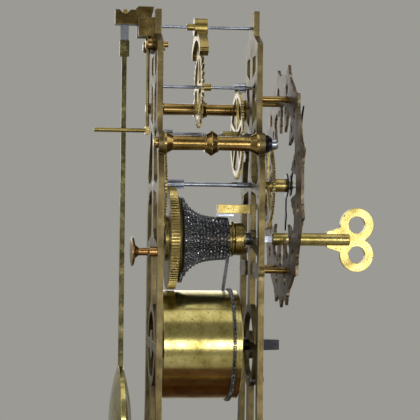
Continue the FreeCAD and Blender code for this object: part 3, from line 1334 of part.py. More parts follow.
def make_cock_screws():
    """Thumb-headed screws through the cock's foot and the back plate, one each side of the crutch."""
    z = cock_screw_z()
    start = OUT + COCK_FOOT_THICK
    screws = []
    for side in (-1, 1):
        x = side * COCK_SCREW_X
        head = turned(x, z, [(start, COCK_SCREW_HEAD_R), (start + COCK_SCREW_HEAD * 0.7, COCK_SCREW_HEAD_R),
                             (start + COCK_SCREW_HEAD, COCK_SCREW_HEAD_R * 0.75)])
        screws.append(joined([head, disc(x, z, COCK_SCREW_R, IN - COCK_SCREW_END, start)]))
    return Part.makeCompound(screws)


def make_clamp_pin():
    """Cross pin that holds the suspension spring's end in the arm's notch."""
    reach = COCK_ARM_WIDTH / 2 + CLAMP_PIN_R
    return Part.makeCylinder(CLAMP_PIN_R, 2 * reach, V(-reach, ROD_Y, clamp_pin_z()), X_AXIS)


def make_cannon():
    """Cannon wheel and its pipe, which carries the minute hand."""
    front = CANNON_BACK - CANNON_THICK
    towards = math.pi / 2 - math.radians(MOTION_ANGLE)
    blank = wheel_blank(Z_CENTRE, CANNON_TEETH, CANNON_MODULE, front, CANNON_BACK, towards=towards)
    pipe = disc(0, Z_CENTRE, CANNON_PIPE_R, MINUTE_HAND_BACK - HAND_THICK, CANNON_BACK)
    bore = disc(0, Z_CENTRE, CENTRE_ARBOR_R, MINUTE_HAND_BACK - 2 * HAND_THICK, CANNON_BACK + CUT_OVERRUN)
    wheel = spoked(blank, 0, Z_CENTRE, root_radius(CANNON_TEETH, CANNON_MODULE), CENTRE_ARBOR_R, HUB_R,
                   SMALL_WHEEL_SPOKES, front, CANNON_BACK)
    return joined([wheel, pipe]).cut(bore)


def make_minute_wheel():
    """Minute wheel and pinion on the stud."""
    front = CANNON_BACK - CANNON_THICK
    back_towards = -math.pi / 2 - math.radians(MOTION_ANGLE)
    gap_towards = back_towards + math.pi / CANNON_TEETH
    blank = wheel_blank(STUD_Z, CANNON_TEETH, CANNON_MODULE, front, CANNON_BACK, x=STUD_X, towards=gap_towards)
    wheel = spoked(blank, STUD_X, STUD_Z, root_radius(CANNON_TEETH, CANNON_MODULE), MINUTE_STUD_R, HUB_R,
                   SMALL_WHEEL_SPOKES, front, CANNON_BACK)
    leaves = pinion(STUD_Z, MINUTE_PINION_TEETH, HOUR_MODULE, HOUR_BACK - HOUR_THICK - END_SHAKE, front,
                    x=STUD_X, towards=back_towards)
    bore = disc(STUD_X, STUD_Z, STUD_BORE_R, HOUR_BACK - 3 * HOUR_THICK, CANNON_BACK + CUT_OVERRUN)
    hub = disc(STUD_X, STUD_Z, HUB_R / 2, front, CANNON_BACK)
    return joined([wheel, hub, leaves]).cut(bore)


STUD_PIN_R = MINUTE_STUD_R / 2
STUD_BORE_R = STUD_PIN_R + PIVOT_CLEAR


def make_minute_stud():
    """Steel stud in the front plate, with a head that keeps the minute wheel on."""
    end = HOUR_BACK - HOUR_THICK - 2 * END_SHAKE
    solids = [
        disc(STUD_X, STUD_Z, MINUTE_STUD_R, CANNON_BACK + END_SHAKE, -IN),
        disc(STUD_X, STUD_Z, STUD_PIN_R, end, -IN),
        disc(STUD_X, STUD_Z, MINUTE_STUD_HEAD_R / 2, end, end - END_SHAKE * 2),
    ]
    return joined(solids)


def make_hour_wheel():
    """Hour wheel and the wide pipe that carries the hour hand."""
    front = HOUR_BACK - HOUR_THICK
    towards = math.pi / 2 - math.radians(MOTION_ANGLE)
    blank = wheel_blank(Z_CENTRE, HOUR_TEETH, HOUR_MODULE, front, HOUR_BACK, towards=towards)
    bore_r = CANNON_PIPE_R + PIVOT_CLEAR
    wheel = spoked(blank, 0, Z_CENTRE, root_radius(HOUR_TEETH, HOUR_MODULE), bore_r, HOUR_PIPE_R, WHEEL_SPOKES,
                   front, HOUR_BACK)
    pipe = disc(0, Z_CENTRE, HOUR_PIPE_R, HOUR_HAND_BACK, front)
    nose = disc(0, Z_CENTRE, CANNON_PIPE_R + HOUR_PIPE_WALL / 2, HOUR_HAND_BACK - HAND_THICK, HOUR_HAND_BACK)
    bore = disc(0, Z_CENTRE, bore_r, HOUR_HAND_BACK - 2 * HAND_THICK, HOUR_BACK + CUT_OVERRUN)
    return joined([wheel, pipe, nose]).cut(bore)


def hand(back, length, boss_r, bore_r, spade_at_share, spade_width, degrees):
    """A flat hand: round boss, tapered stem and a pointed leaf near its end."""
    front = back - HAND_THICK
    spade_z = length * spade_at_share
    half = HAND_WIDTH / 2
    points = [
        (-half, 0),
        (-half * 0.7, spade_z - spade_width),
        (-spade_width * 0.8, spade_z),
        (-spade_width * 0.45, spade_z + spade_width * 0.9),
        (0, length),
        (spade_width * 0.45, spade_z + spade_width * 0.9),
        (spade_width * 0.8, spade_z),
        (half * 0.7, spade_z - spade_width),
        (half, 0),
    ]
    blade = sheet([(px, Z_CENTRE + pz) for px, pz in points], front, back)
    solid = joined([blade, disc(0, Z_CENTRE, boss_r, front, back)])
    solid = solid.cut(disc(0, Z_CENTRE, bore_r, front - CUT_OVERRUN, back + CUT_OVERRUN))
    return spin(solid, 0, Z_CENTRE, degrees)


def make_hour_hand():
    return hand(HOUR_HAND_BACK, HOUR_HAND_LENGTH, HOUR_BOSS_R, CANNON_PIPE_R + HOUR_PIPE_WALL / 2,
                HOUR_SPADE_SHARE, HOUR_SPADE_WIDTH, HOUR_HAND_ANGLE)


def make_minute_hand():
    return hand(MINUTE_HAND_BACK, MINUTE_HAND_LENGTH, HAND_BOSS_R, CANNON_PIPE_R, MINUTE_SPADE_SHARE,
                MINUTE_SPADE_WIDTH, MINUTE_HAND_ANGLE)


def make_hand_collet():
    """Brass collet and taper pin that hold the minute hand on."""
    start = MINUTE_HAND_BACK - HAND_THICK
    collet = turned(0, Z_CENTRE, [(start, HAND_COLLET_R), (start - HAND_COLLET_THICK, HAND_COLLET_R * 0.7)])
    return collet.cut(disc(0, Z_CENTRE, CENTRE_ARBOR_R, start + CUT_OVERRUN, start - 2 * HAND_COLLET_THICK))


# Strokes of the twelve numerals: kind, and place across the numeral in widths of one stroke
NUMERALS = {
    1: (("I", 0),),
    2: (("I", -1), ("I", 1)),
    3: (("I", -2), ("I", 0), ("I", 2)),
    4: (("I", -2.5), ("V", 1)),
    5: (("V", 0),),
    6: (("V", -1), ("I", 2.5)),
    7: (("V", -2), ("I", 1.5), ("I", 3.5)),
    8: (("V", -3), ("I", 0.5), ("I", 2.5), ("I", 4.5)),
    9: (("I", -2.5), ("X", 1)),
    10: (("X", 0),),
    11: (("X", -1), ("I", 2.5)),
    12: (("X", -2), ("I", 1.5), ("I", 3.5)),
}


def numeral_strokes(hour, y0, y1):
    """The raised strokes of one numeral at the top of the dial, feet towards the centre."""
    low, high = NUMERAL_INNER_R, NUMERAL_OUTER_R
    width = NUMERAL_BAR
    slant = NUMERAL_SLANT_SHARE * width
    solids = []
    for kind, place in NUMERALS[hour]:
        x = place * width
        if kind == "I":
            lines = [(x, x)]
        elif kind == "V":
            lines = [(x, x - slant), (x, x + slant)]
        else:
            lines = [(x - slant, x + slant), (x + slant, x - slant)]
        for foot, head in lines:
            half = width / 2
            solids.append(sheet([(foot - half, Z_CENTRE + low), (head - half, Z_CENTRE + high),
                                 (head + half, Z_CENTRE + high), (foot + half, Z_CENTRE + low)], y0, y1))
    return solids


def ornament(shares, half_width, foot, rise, y0, y1):
    """A stepped and pointed piece of the fret at the top of the dial, from its table of shares."""
    return sheet([(x * half_width, Z_CENTRE + foot + z * rise) for x, z in shares], y0, y1)


def fret(y0, y1):
    """Ornament that points to the centre, pierced by one hole."""
    foot = math.sqrt(NUMERAL_INNER_R ** 2 - FRET_HALF_WIDTH ** 2)
    rise = DIAL_INNER_R - FRET_DEPTH - foot
    solid = ornament(FRET_SHARES, FRET_HALF_WIDTH, foot, rise, y0, y1)
    hole_z = Z_CENTRE + foot + rise * FRET_HOLE_SHARE
    return solid.cut(disc(0, hole_z, FRET_HOLE_R, y0 - CUT_OVERRUN, y1 + CUT_OVERRUN))


def crest(y0, y1):
    """Ornament that points outward from the outer band."""
    foot = math.sqrt(DIAL_OUTER_R ** 2 - CREST_HALF_WIDTH ** 2) - DIAL_OUTER_BAND / 2
    return ornament(CREST_SHARES, CREST_HALF_WIDTH, foot, DIAL_OUTER_R + CREST_RISE - foot, y0, y1)


def make_chapter_ring():
    """Fretted chapter ring: raised numerals on a band that is pierced, crested and fretted between the hours."""
    y0, y1 = DIAL_BACK - DIAL_THICK, DIAL_BACK
    solids = [
        ring(0, Z_CENTRE, DIAL_OUTER_R, DIAL_INNER_R, y0, y1),
        spin(crest(y0, y1), 0, Z_CENTRE, HALF_TURN),
    ]
    hole = disc(0, Z_CENTRE + (NUMERAL_INNER_R + NUMERAL_OUTER_R) / 2, DIAL_HOLE_R, y0 - CUT_OVERRUN, y1 + CUT_OVERRUN)
    holes = []
    step = TURN / HOURS
    for hour in range(1, HOURS + 1):
        between = (hour + 0.5) * step
        for stroke in numeral_strokes(hour, y0 - NUMERAL_RISE, y1 - DIAL_THICK / 2):
            solids.append(spin(stroke, 0, Z_CENTRE, hour * step))
        holes.append(spin(hole, 0, Z_CENTRE, between))
        solids.append(spin(crest(y0, y1), 0, Z_CENTRE, between))
        solids.append(spin(fret(y0, y1), 0, Z_CENTRE, between))
    result = joined(solids)
    result = result.cut(Part.makeCompound(holes))
    lugs = [disc(x, z, DIAL_LUG_R, y0, y1) for x, z in dial_pillar_places()]
    tenons = [disc(x, z, DIAL_PILLAR_R / 2, y0 - CUT_OVERRUN, y1 + CUT_OVERRUN) for x, z in dial_pillar_places()]
    return joined([result] + lugs).cut(Part.makeCompound(tenons))


def dial_pillar_places():
    return [(sx * DIAL_PILLAR_X, Z_CENTRE + sz * DIAL_PILLAR_DZ) for sx in (-1, 1) for sz in (-1, 1)]


def make_dial_pillars():
    """Four slim pillars from the front plate to the dial, with a threaded tenon at each end."""
    pillars = []
    for x, z in dial_pillar_places():
        body = disc(x, z, DIAL_PILLAR_R, DIAL_BACK, -OUT)
        tenon = disc(x, z, DIAL_PILLAR_R / 2, DIAL_BACK - DIAL_THICK - DIAL_NUT_LENGTH / 2, -IN)
        pillars.append(joined([body, tenon]))
    return Part.makeCompound(pillars)


def make_dial_nuts():
    nuts = []
    for x, z in dial_pillar_places():
        start = DIAL_BACK - DIAL_THICK
        end = start - DIAL_NUT_LENGTH
        nut = turned(x, z, [(start, DIAL_NUT_R), (start - DIAL_NUT_LENGTH / 2, DIAL_NUT_R), (end, DIAL_NUT_R / 2)])
        nuts.append(nut.cut(disc(x, z, DIAL_PILLAR_R / 2, start + CUT_OVERRUN, start - DIAL_NUT_LENGTH / 2)))
    return Part.makeCompound(nuts)


def make_winding_key():
    """Key on the winding square: a long pipe pinned into a flat bow with two pierced lobes."""
    pipe_end = KEY_BACK - KEY_PIPE_LENGTH
    shoulder_y = KEY_BACK - KEY_SHOULDER_OFFSET
    middle_y = KEY_BACK - KEY_BOW_OFFSET
    profile = [
        (KEY_BACK, KEY_PIPE_R - KEY_WALL),
        (KEY_BACK - KEY_WALL, KEY_PIPE_R),
        (pipe_end + KEY_WALL, KEY_PIPE_R),
        (pipe_end, KEY_PIPE_R - KEY_WALL),
    ]
    lobe_r = KEY_BOW_LENGTH / 2
    lobe_z = KEY_BOW_WIDTH / 2 - lobe_r
    low = -KEY_BOW_THICK / 2
    near_y, far_y = middle_y + lobe_r / 2, middle_y - lobe_r / 2
    upper = [(shoulder_y, KEY_SHOULDER_HALF), (near_y, lobe_z), (far_y, lobe_z)]
    outline = [(y, Z_FUSEE + z) for y, z in upper] + [(y, Z_FUSEE - z) for y, z in reversed(upper)]
    shoulder = side_sheet(outline, KEY_BOW_THICK / 2)
    lobes = [Part.makeCylinder(lobe_r, KEY_BOW_THICK, V(low, middle_y, Z_FUSEE + side * lobe_z), X_AXIS)
             for side in (-1, 1)]
    solid = joined([turned(0, Z_FUSEE, profile), shoulder] + lobes)
    through = KEY_BOW_THICK + 2 * CUT_OVERRUN
    cuts = [Part.makeCylinder(KEY_BOW_HOLE_R, through, V(low - CUT_OVERRUN, middle_y, Z_FUSEE + side * lobe_z), X_AXIS)
            for side in (-1, 1)]
    pin_place = V(-KEY_PIPE_R, KEY_BACK - KEY_PIN_OFFSET, Z_FUSEE)
    cuts.append(Part.makeCylinder(KEY_PIN_R, KEY_WALL, pin_place, X_AXIS))
    socket = FUSEE_SQUARE + 2 * SQUARE_CLEAR
    cuts.append(square_bar(0, Z_FUSEE, socket, KEY_BACK - KEY_SOCKET, KEY_BACK + CUT_OVERRUN))
    return solid.cut(Part.makeCompound(cuts))


def make_stop_block():
    """Brass block on the front plate's strip, slotted for the stop arm, with the arm's cross pin."""
    half = STOP_BLOCK_WIDTH / 2
    slot_half = STOP_TONGUE_WIDTH / 2 + PIVOT_CLEAR
    body = block(-half, half, -IN, STOP_BLOCK_BACK, STOP_BLOCK_Z, STOP_BLOCK_Z + STOP_BLOCK_HEIGHT)
    slot = block(-slot_half, slot_half, STOP_BLOCK_BACK - STOP_SLOT_LENGTH, STOP_BLOCK_BACK + CUT_OVERRUN,
                 STOP_BLOCK_Z - CUT_OVERRUN, STOP_BLOCK_Z + STOP_BLOCK_HEIGHT + CUT_OVERRUN)
    pin = Part.makeCylinder(STOP_PIN_R, STOP_BLOCK_WIDTH, V(-half, STOP_PIN_Y, STOP_PIN_Z), X_AXIS)
    return joined([body.cut(slot), pin])


def make_stop_arm():
    """Arm of the stop work: a blade under the block, with a tongue hinged on the block's pin."""
    tongue_r = STOP_PIN_OFFSET - PIVOT_CLEAR
    blade = block(-STOP_ARM_WIDTH / 2, STOP_ARM_WIDTH / 2, STOP_BLOCK_BACK - STOP_ARM_LENGTH, STOP_BLOCK_BACK,
                  STOP_ARM_LOW, STOP_ARM_LOW + STOP_ARM_THICK)
    half = STOP_TONGUE_WIDTH / 2
    eye = Part.makeCylinder(tongue_r, STOP_TONGUE_WIDTH, V(-half, STOP_PIN_Y, STOP_PIN_Z), X_AXIS)
    neck = block(-half, half, STOP_PIN_Y - tongue_r, STOP_PIN_Y + tongue_r, STOP_ARM_LOW, STOP_PIN_Z)
    bore = Part.makeCylinder(STOP_PIN_R + PIVOT_CLEAR, STOP_TONGUE_WIDTH + 2 * CUT_OVERRUN,
                             V(-half - CUT_OVERRUN, STOP_PIN_Y, STOP_PIN_Z), X_AXIS)
    return joined([blade, neck, eye]).cut(bore)


def make_rear_stud():
    """Stud on the back plate: a stepped stem and a thin trumpet head."""
    foot = OUT + REAR_STUD_FOOT
    end = OUT + REAR_STUD_LENGTH
    rim = REAR_STUD_RIM
    profile = [(OUT, REAR_STUD_FOOT_R), (foot, REAR_STUD_FOOT_R), (foot + rim, REAR_STUD_R),
               (end - 5 * rim, REAR_STUD_R), (end - 3 * rim, REAR_STUD_FOOT_R + rim),
               (end - 2 * rim, REAR_STUD_HEAD_R - rim), (end - rim, REAR_STUD_HEAD_R),
               (end - rim / 2, REAR_STUD_HEAD_R), (end, REAR_STUD_HEAD_R - 2 * rim)]
    tenon = disc(REAR_STUD_X, REAR_STUD_Z, REAR_STUD_R / 2, IN, OUT)
    return joined([turned(REAR_STUD_X, REAR_STUD_Z, profile), tenon])


# Names of the nodes and what makes them
def sub_parts():
    return {
        "base": make_base,
        "front_plate": make_front_plate,
        "back_plate": make_back_plate,
        "foot_bolts": make_foot_bolts,
        "middle_pillar": lambda: make_pillar(-MIDDLE_PILLAR_X, MIDDLE_PILLAR_Z, PILLAR_R, PILLAR_KNOP_R),
        "upper_pillar": lambda: make_pillar(UPPER_PILLAR_X, UPPER_PILLAR_Z, SLIM_PILLAR_R, SLIM_KNOP_R),
        "lower_pillar_left": lambda: make_pillar(-LOWER_PILLAR_X, LOWER_PILLAR_Z, PILLAR_R, PILLAR_KNOP_R),
        "lower_pillar_right": lambda: make_pillar(LOWER_PILLAR_X, LOWER_PILLAR_Z, PILLAR_R, PILLAR_KNOP_R),
        "pillar_washers": make_pillar_washers,
        "pillar_nuts": make_pillar_nuts,
        "barrel_drum": make_barrel_drum,
        "barrel_lid": make_barrel_lid,
        "barrel_arbor": make_barrel_arbor,
        "mainspring": make_mainspring,
        "setup_ratchet": make_setup_ratchet,
        "setup_click": make_setup_click,
        "setup_click_screw": make_setup_click_screw,
        "fusee_cone": make_fusee_cone,
        "fusee_cap": make_fusee_cap,
        "fusee_arbor": make_fusee_arbor,
        "fusee_ratchet": make_fusee_ratchet,
        "great_wheel": make_great_wheel,
        "maintaining_ring": make_maintaining_ring,
        "ratchet_clicks": make_ratchet_clicks,
        "fusee_chain": make_fusee_chain,
        "barrel_chain": make_barrel_chain,
        "chain_run": make_chain_run,
        "chain_hook": make_chain_hook,
        "centre_arbor": make_centre_arbor,
        "centre_wheel": make_centre_wheel,
        "third_arbor": make_third_arbor,
        "third_wheel": make_third_wheel,
        "escape_arbor": make_escape_arbor,
        "escape_wheel": make_escape_wheel,
        "pallet_arbor": make_pallet_arbor,
        "pallet_anchor": make_anchor,
        "crutch": make_crutch,
        "crutch_pins": make_crutch_pins,
        "suspension_spring": make_suspension_spring,
        "pendulum_block": make_pendulum_block,
        "pendulum_rod": make_pendulum_rod,
        "pendulum_bob": make_pendulum_bob,
        "rating_nut": make_rating_nut,
        "back_cock": make_back_cock,
        "cock_screws": make_cock_screws,
        "suspension_pin": make_clamp_pin,
        "cannon_wheel": make_cannon,
        "minute_wheel": make_minute_wheel,
        "minute_stud": make_minute_stud,
        "hour_wheel": make_hour_wheel,
        "hour_hand": make_hour_hand,
        "minute_hand": make_minute_hand,
        "hand_collet": make_hand_collet,
        "chapter_ring": make_chapter_ring,
        "dial_pillars": make_dial_pillars,
        "dial_nuts": make_dial_nuts,
        "winding_key": make_winding_key,
        "rear_stud": make_rear_stud,
        "stop_block": make_stop_block,
        "stop_arm": make_stop_arm,
    }


os.makedirs("parts", exist_ok=True)
for name, maker in sub_parts().items():
    shape = maker()
    if not shape.isValid():
        print("not valid:", name)
    print(name, len(shape.Solids), round(shape.Volume, 1))
    shape.exportStep("parts/" + name + ".step")
print_chain_gap()
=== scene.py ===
import json
import math
import bpy
import numpy as np
from mathutils import Matrix, Vector


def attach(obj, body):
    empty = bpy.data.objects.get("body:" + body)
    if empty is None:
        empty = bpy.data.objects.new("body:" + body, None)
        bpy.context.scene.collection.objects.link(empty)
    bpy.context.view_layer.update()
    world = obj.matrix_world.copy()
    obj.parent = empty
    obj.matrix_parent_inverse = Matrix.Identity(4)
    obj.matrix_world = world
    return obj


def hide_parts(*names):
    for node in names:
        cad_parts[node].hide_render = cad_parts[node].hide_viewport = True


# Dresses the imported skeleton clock. Metres; the dial faces -Y and every arbor lies along Y at X = 0.
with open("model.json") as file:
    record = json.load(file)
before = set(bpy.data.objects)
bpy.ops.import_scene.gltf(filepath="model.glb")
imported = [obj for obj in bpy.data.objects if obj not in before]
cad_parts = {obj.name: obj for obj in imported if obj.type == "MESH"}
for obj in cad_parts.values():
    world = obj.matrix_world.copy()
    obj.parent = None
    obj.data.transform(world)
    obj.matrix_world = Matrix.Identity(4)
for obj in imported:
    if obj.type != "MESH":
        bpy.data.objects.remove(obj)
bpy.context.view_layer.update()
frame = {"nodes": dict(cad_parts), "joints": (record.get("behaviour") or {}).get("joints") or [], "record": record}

MM = 0.001
TURN = 2 * math.pi
PIVOT = {j["name"]: j.get("pos_m") for j in frame["joints"]}
Z_FUSEE = PIVOT["fusee_turn"][2]
Z_BARREL = PIVOT["barrel_turn"][2]

# The photograph's camera: the width it covers, its distance, the place it aims at, its turn towards the
# clock's back, and its small roll
PHOTO_WIDTH_PX = 420
PHOTO_MM_PER_PX = 0.53
CAMERA_DISTANCE = 830 * MM
CAMERA_AIM = (0, -3.2 * MM, 182.4 * MM)
CAMERA_TURN = math.radians(7)
CAMERA_ROLL = math.radians(0.7)
SENSOR = 36.0

# Fusee, barrel and chain, as in the solids
FUSEE_LARGE_R = 22.9 * MM
FUSEE_SMALL_R = 9.8 * MM
FUSEE_CURVE = 4.3
FUSEE_TURNS = 14
FUSEE_BACK = 14.4 * MM
FUSEE_LENGTH = 27.3 * MM
BARREL_R = 28.5 * MM
CHAIN_R = 0.65 * MM
CHAIN_SEAT = 0.12 * MM
BARREL_CHAIN_R = BARREL_R + CHAIN_R + CHAIN_SEAT
CHAIN_LEAVES_Y = FUSEE_BACK + CHAIN_R - FUSEE_LENGTH

# Links: pitch of the rivets, shares of the pitch and the height for a plate's outline, and the plates' places
LINK_PITCH = 1.2 * MM
LINK_HEIGHT = 1.35 * MM
LINK_CROWN_SHARE = 0.3
LINK_EYE_SHARE = 0.62
LINK_END_SHARE = 0.78
EYE_HEIGHT_SHARE = 0.62
OUTER_PLATE_PLACE = 0.62 * MM
OUTER_PLATE_THICK = 0.36 * MM
INNER_PLATE_THICK = 0.62 * MM
RIVET_R = 0.34 * MM
RIVET_HALF = 0.90 * MM
RIVET_SIDES = 6

# How finely the routes are followed: points along each, the step of shares that gives the cone's slope, and
# the share of the pitch to either side that gives a link's direction
FUSEE_SAMPLES = FUSEE_TURNS * 300
BARREL_SAMPLES = 400
RUN_SAMPLES = 60
SLOPE_STEP = 1e-4
DIRECTION_SHARE = 0.1

# Where the dial's raised numerals start in front of its face
NUMERAL_FACE = -43.05 * MM

# Worn metal: noise for the cloudy tone and the grain, how much the grain and the dark specks show in the
# tone, and between which agreements of the rounded and the straight normal an edge is painted brighter, as rubbed
# wear and as a painted highlight
CLOUD = {"Detail": 5.0, "Roughness": 0.62}
GRAIN = {"Detail": 3.0, "Roughness": 0.6}
GRAIN_TONE = 0.5
SPECK_SIZE = 0.3
SPECK_TONE = -0.35
EDGE_STARTS = 0.99
EDGE_FULL = 0.88
EDGE_SAMPLES = 6

# Mahogany: the grain's stretch along X, its width, the pores' size and the relief
WOOD_STRETCH = (0.06, 1.0, 1.0)
WOOD_GRAIN = 3 * MM
WOOD_PORES = 0.5 * MM
WOOD_RELIEF = 0.05 * MM

# Surroundings: their shade, how far the floor shows, and how much of the shade lights the object
SURROUND = "#9B9A94"
FLOOR_SHADE = "#C4C2BC"
FLOOR_REACH = 3.0
FLOOR_NEAR = 0.22
FLOOR_FAR = 0.48
SURROUND_LIGHT_SHARE = 0.75

# Lamps: name, place, aim, width and height in metres, and watts. Two near strips lay one bright band along
# the barrel and light the pillars; broad soft lamps stand round about and above.
MIDDLE = (0, 0, 0.18)
LAMPS = [
    ("band_lamp", (-0.45, -0.06, 0.135), (0, -0.01, 0.135), 0.5, 0.09, 0.95),
    ("pillar_lamp", (-0.8, -0.1, 0.25), MIDDLE, 0.6, 0.05, 0.6),
    ("back_lamp", (-0.2, 1.2, 0.6), MIDDLE, 0.9, 0.9, 5.5),
    ("front_lamp", (-0.2, -1.2, 0.6), MIDDLE, 0.9, 0.9, 5.5),
    ("top_lamp", (-0.2, 0, 1.3), MIDDLE, 1.2, 1.2, 5.0),
    ("far_lamp", (1.2, 0.2, 0.6), MIDDLE, 0.9, 0.9, 4.0),
]


def linear(hex_colour):
    """An sRGB hex colour as the linear colour that a shader takes."""
    parts = [int(hex_colour[i:i + 2], 16) / 255 for i in (1, 3, 5)]
    return tuple(c / 12.92 if c <= 0.04045 else ((c + 0.055) / 1.055) ** 2.4 for c in parts) + (1.0,)


def add_node(tree, kind, settings=None, links=None):
    """Adds a node, sets its properties or inputs, and links other nodes' outputs to its inputs."""
    made = tree.nodes.new(kind)
    for key, value in (settings or {}).items():
        if isinstance(key, str) and hasattr(made, key):
            setattr(made, key, value)
        else:
            made.inputs[key].default_value = value
    for key, output in (links or {}).items():
        tree.links.new(output, made.inputs[key])
    return made


def ramp(tree, factor, stops):
    """A colour ramp over a factor, from (place, hex colour) stops."""
    made = add_node(tree, "ShaderNodeValToRGB", links={"Fac": factor})
    elements = made.color_ramp.elements
    while len(elements) < len(stops):
        elements.new(0.5)
    for element, (place, colour) in zip(elements, stops):
        element.position = place
        element.color = linear(colour)
    return made.outputs["Color"]


def spread(tree, factor, low, high):
    """A factor from 0 to 1 brought to a range."""
    made = add_node(tree, "ShaderNodeMapRange", {"To Min": low, "To Max": high}, {"Value": factor})
    return made.outputs["Result"]


def new_material(name):
    """A material with its node tree, its shader and the object's own coordinates in metres."""
    material = bpy.data.materials.new(name)
    material.use_nodes = True
    tree = material.node_tree
    place = add_node(tree, "ShaderNodeTexCoord").outputs["Object"]
    return material, tree, tree.nodes["Principled BSDF"], place


def noise(tree, place, size, settings):
    """A noise whose features have about the given size."""
    made = add_node(tree, "ShaderNodeTexNoise", {"Scale": 1 / size, **settings}, {"Vector": place})
    return made.outputs["Fac"]


def stretched(tree, place, scale):
    """Coordinates scaled along each axis; a small scale draws a pattern out along that axis."""
    return add_node(tree, "ShaderNodeMapping", {"Scale": scale}, {"Vector": place}).outputs["Vector"]


def maths(tree, operation, values, links):
    """A math node's result, from numbers and other nodes' outputs by the inputs' places."""
    return add_node(tree, "ShaderNodeMath", {"operation": operation, **values}, links).outputs[0]


def blend_colours(tree, share, first, second):
    """A first colour from a node, gone over to a second, plain colour by a share."""
    mixed = add_node(tree, "ShaderNodeMix", {"data_type": "RGBA", 7: linear(second)}, {0: share, 6: first})
    return mixed.outputs[2]


def speckled(tree, place, tone, cloud, size):
    """The tone, darker in round specks that are larger where the cloud is bright."""
    spots = add_node(tree, "ShaderNodeTexVoronoi", {"Scale": 1 / size}, {"Vector": place}).outputs["Distance"]
    reach = maths(tree, "MULTIPLY", {1: SPECK_SIZE}, {0: cloud})
    inside = maths(tree, "LESS_THAN", {}, {0: spots, 1: reach})
    return maths(tree, "MULTIPLY_ADD", {1: SPECK_TONE}, {0: inside, 2: tone})


def rubbed_and_highlight_share(tree, rounded, cloud):
    """How much an edge is painted brighter, as rubbed wear and as a painted highlight: where the rounded normal
    leaves the straight one, most in bright clouds.
    """
    straight = add_node(tree, "ShaderNodeNewGeometry").outputs["Normal"]
    agree = add_node(tree, "ShaderNodeVectorMath", {"operation": "DOT_PRODUCT"}, {0: rounded, 1: straight})
    worn_and_highlit = add_node(tree, "ShaderNodeMapRange", {"From Min": EDGE_STARTS, "From Max": EDGE_FULL},
                    {"Value": agree.outputs["Value"]}).outputs["Result"]
    return maths(tree, "MULTIPLY", {}, {0: worn_and_highlit, 1: cloud})


def metal(name, stops, roughness, grain_mm, bump_mm, cloud_mm=14.0, stretch=(1, 1, 1), specks_mm=0.0,
          edge="#E0CC96", edge_mm=0.3):
    """A worn metal: cloudy tone, a fine grain in tone and surface, dark specks, and edges painted brighter, as
    rubbed wear and as a painted highlight.

    The roughness goes from the first value in the brightest tone to the second in the darkest.
    """
    material, tree, shader, place = new_material(name)
    shader.inputs["Metallic"].default_value = 1.0
    cloud = noise(tree, place, cloud_mm * MM, CLOUD)
    grain = noise(tree, stretched(tree, place, stretch), grain_mm * MM, GRAIN)
    tone = maths(tree, "MULTIPLY_ADD", {1: GRAIN_TONE, 2: -GRAIN_TONE / 2}, {0: grain})
    tone = maths(tree, "ADD", {}, {0: cloud, 1: tone})
    if specks_mm:
        tone = speckled(tree, place, tone, cloud, specks_mm * MM)
    bevel = {"Radius": edge_mm * MM, "samples": EDGE_SAMPLES}
    rounded = add_node(tree, "ShaderNodeBevel", bevel).outputs["Normal"]
    bump = add_node(tree, "ShaderNodeBump", {"Distance": bump_mm * MM, "Strength": 1.0},
                    {"Height": grain, "Normal": rounded})
    tree.links.new(bump.outputs["Normal"], shader.inputs["Normal"])
    # edges go over to the edge colour: partly rubbed wear, partly a painted highlight
    colour = blend_colours(tree, rubbed_and_highlight_share(tree, rounded, cloud), ramp(tree, tone, stops), edge)
    tree.links.new(colour, shader.inputs["Base Color"])
    bright, dark = roughness
    tree.links.new(spread(tree, tone, dark, bright), shader.inputs["Roughness"])
    return material


def dial_finish(name):
    """Chemically browned brass with edges painted lighter, as rubbed wear and as a painted highlight, and black
    wax on the faces of the raised numerals.
    """
    material = metal(name, [(0.25, "#2F2820"), (0.5, "#5A4F40"), (0.8, "#857861")], roughness=(0.36, 0.55),
                     grain_mm=0.6, bump_mm=0.05, cloud_mm=6.0, specks_mm=1.5, edge="#A8916A")
    tree = material.node_tree
    shader = tree.nodes["Principled BSDF"]
    place = add_node(tree, "ShaderNodeTexCoord").outputs["Object"]
    depth = add_node(tree, "ShaderNodeSeparateXYZ", {}, {0: place}).outputs["Y"]
    raised = maths(tree, "LESS_THAN", {1: NUMERAL_FACE}, {0: depth})
    brass = shader.inputs["Base Color"].links[0].from_socket
    tree.links.new(blend_colours(tree, raised, brass, "#15130F"), shader.inputs["Base Color"])
    return material


def mahogany(name):
    """French-polished mahogany: long grain along X with pores, under a clear coat."""
    material, tree, shader, place = new_material(name)
    along = stretched(tree, place, WOOD_STRETCH)
    grain = noise(tree, along, WOOD_GRAIN, {"Detail": 6.0, "Distortion": 0.6})
    pores = noise(tree, along, WOOD_PORES, {"Detail": 2.0})
    colour = ramp(tree, grain, [(0.3, "#3A1A0B"), (0.5, "#613218"), (0.7, "#85502A")])
    tree.links.new(colour, shader.inputs["Base Color"])
    tree.links.new(spread(tree, pores, 0.28, 0.42), shader.inputs["Roughness"])
    shader.inputs["Coat Weight"].default_value = 0.5
    shader.inputs["Coat Roughness"].default_value = 0.12
    bump = add_node(tree, "ShaderNodeBump", {"Distance": WOOD_RELIEF}, {"Height": pores})
    tree.links.new(bump.outputs["Normal"], shader.inputs["Normal"])
    return material


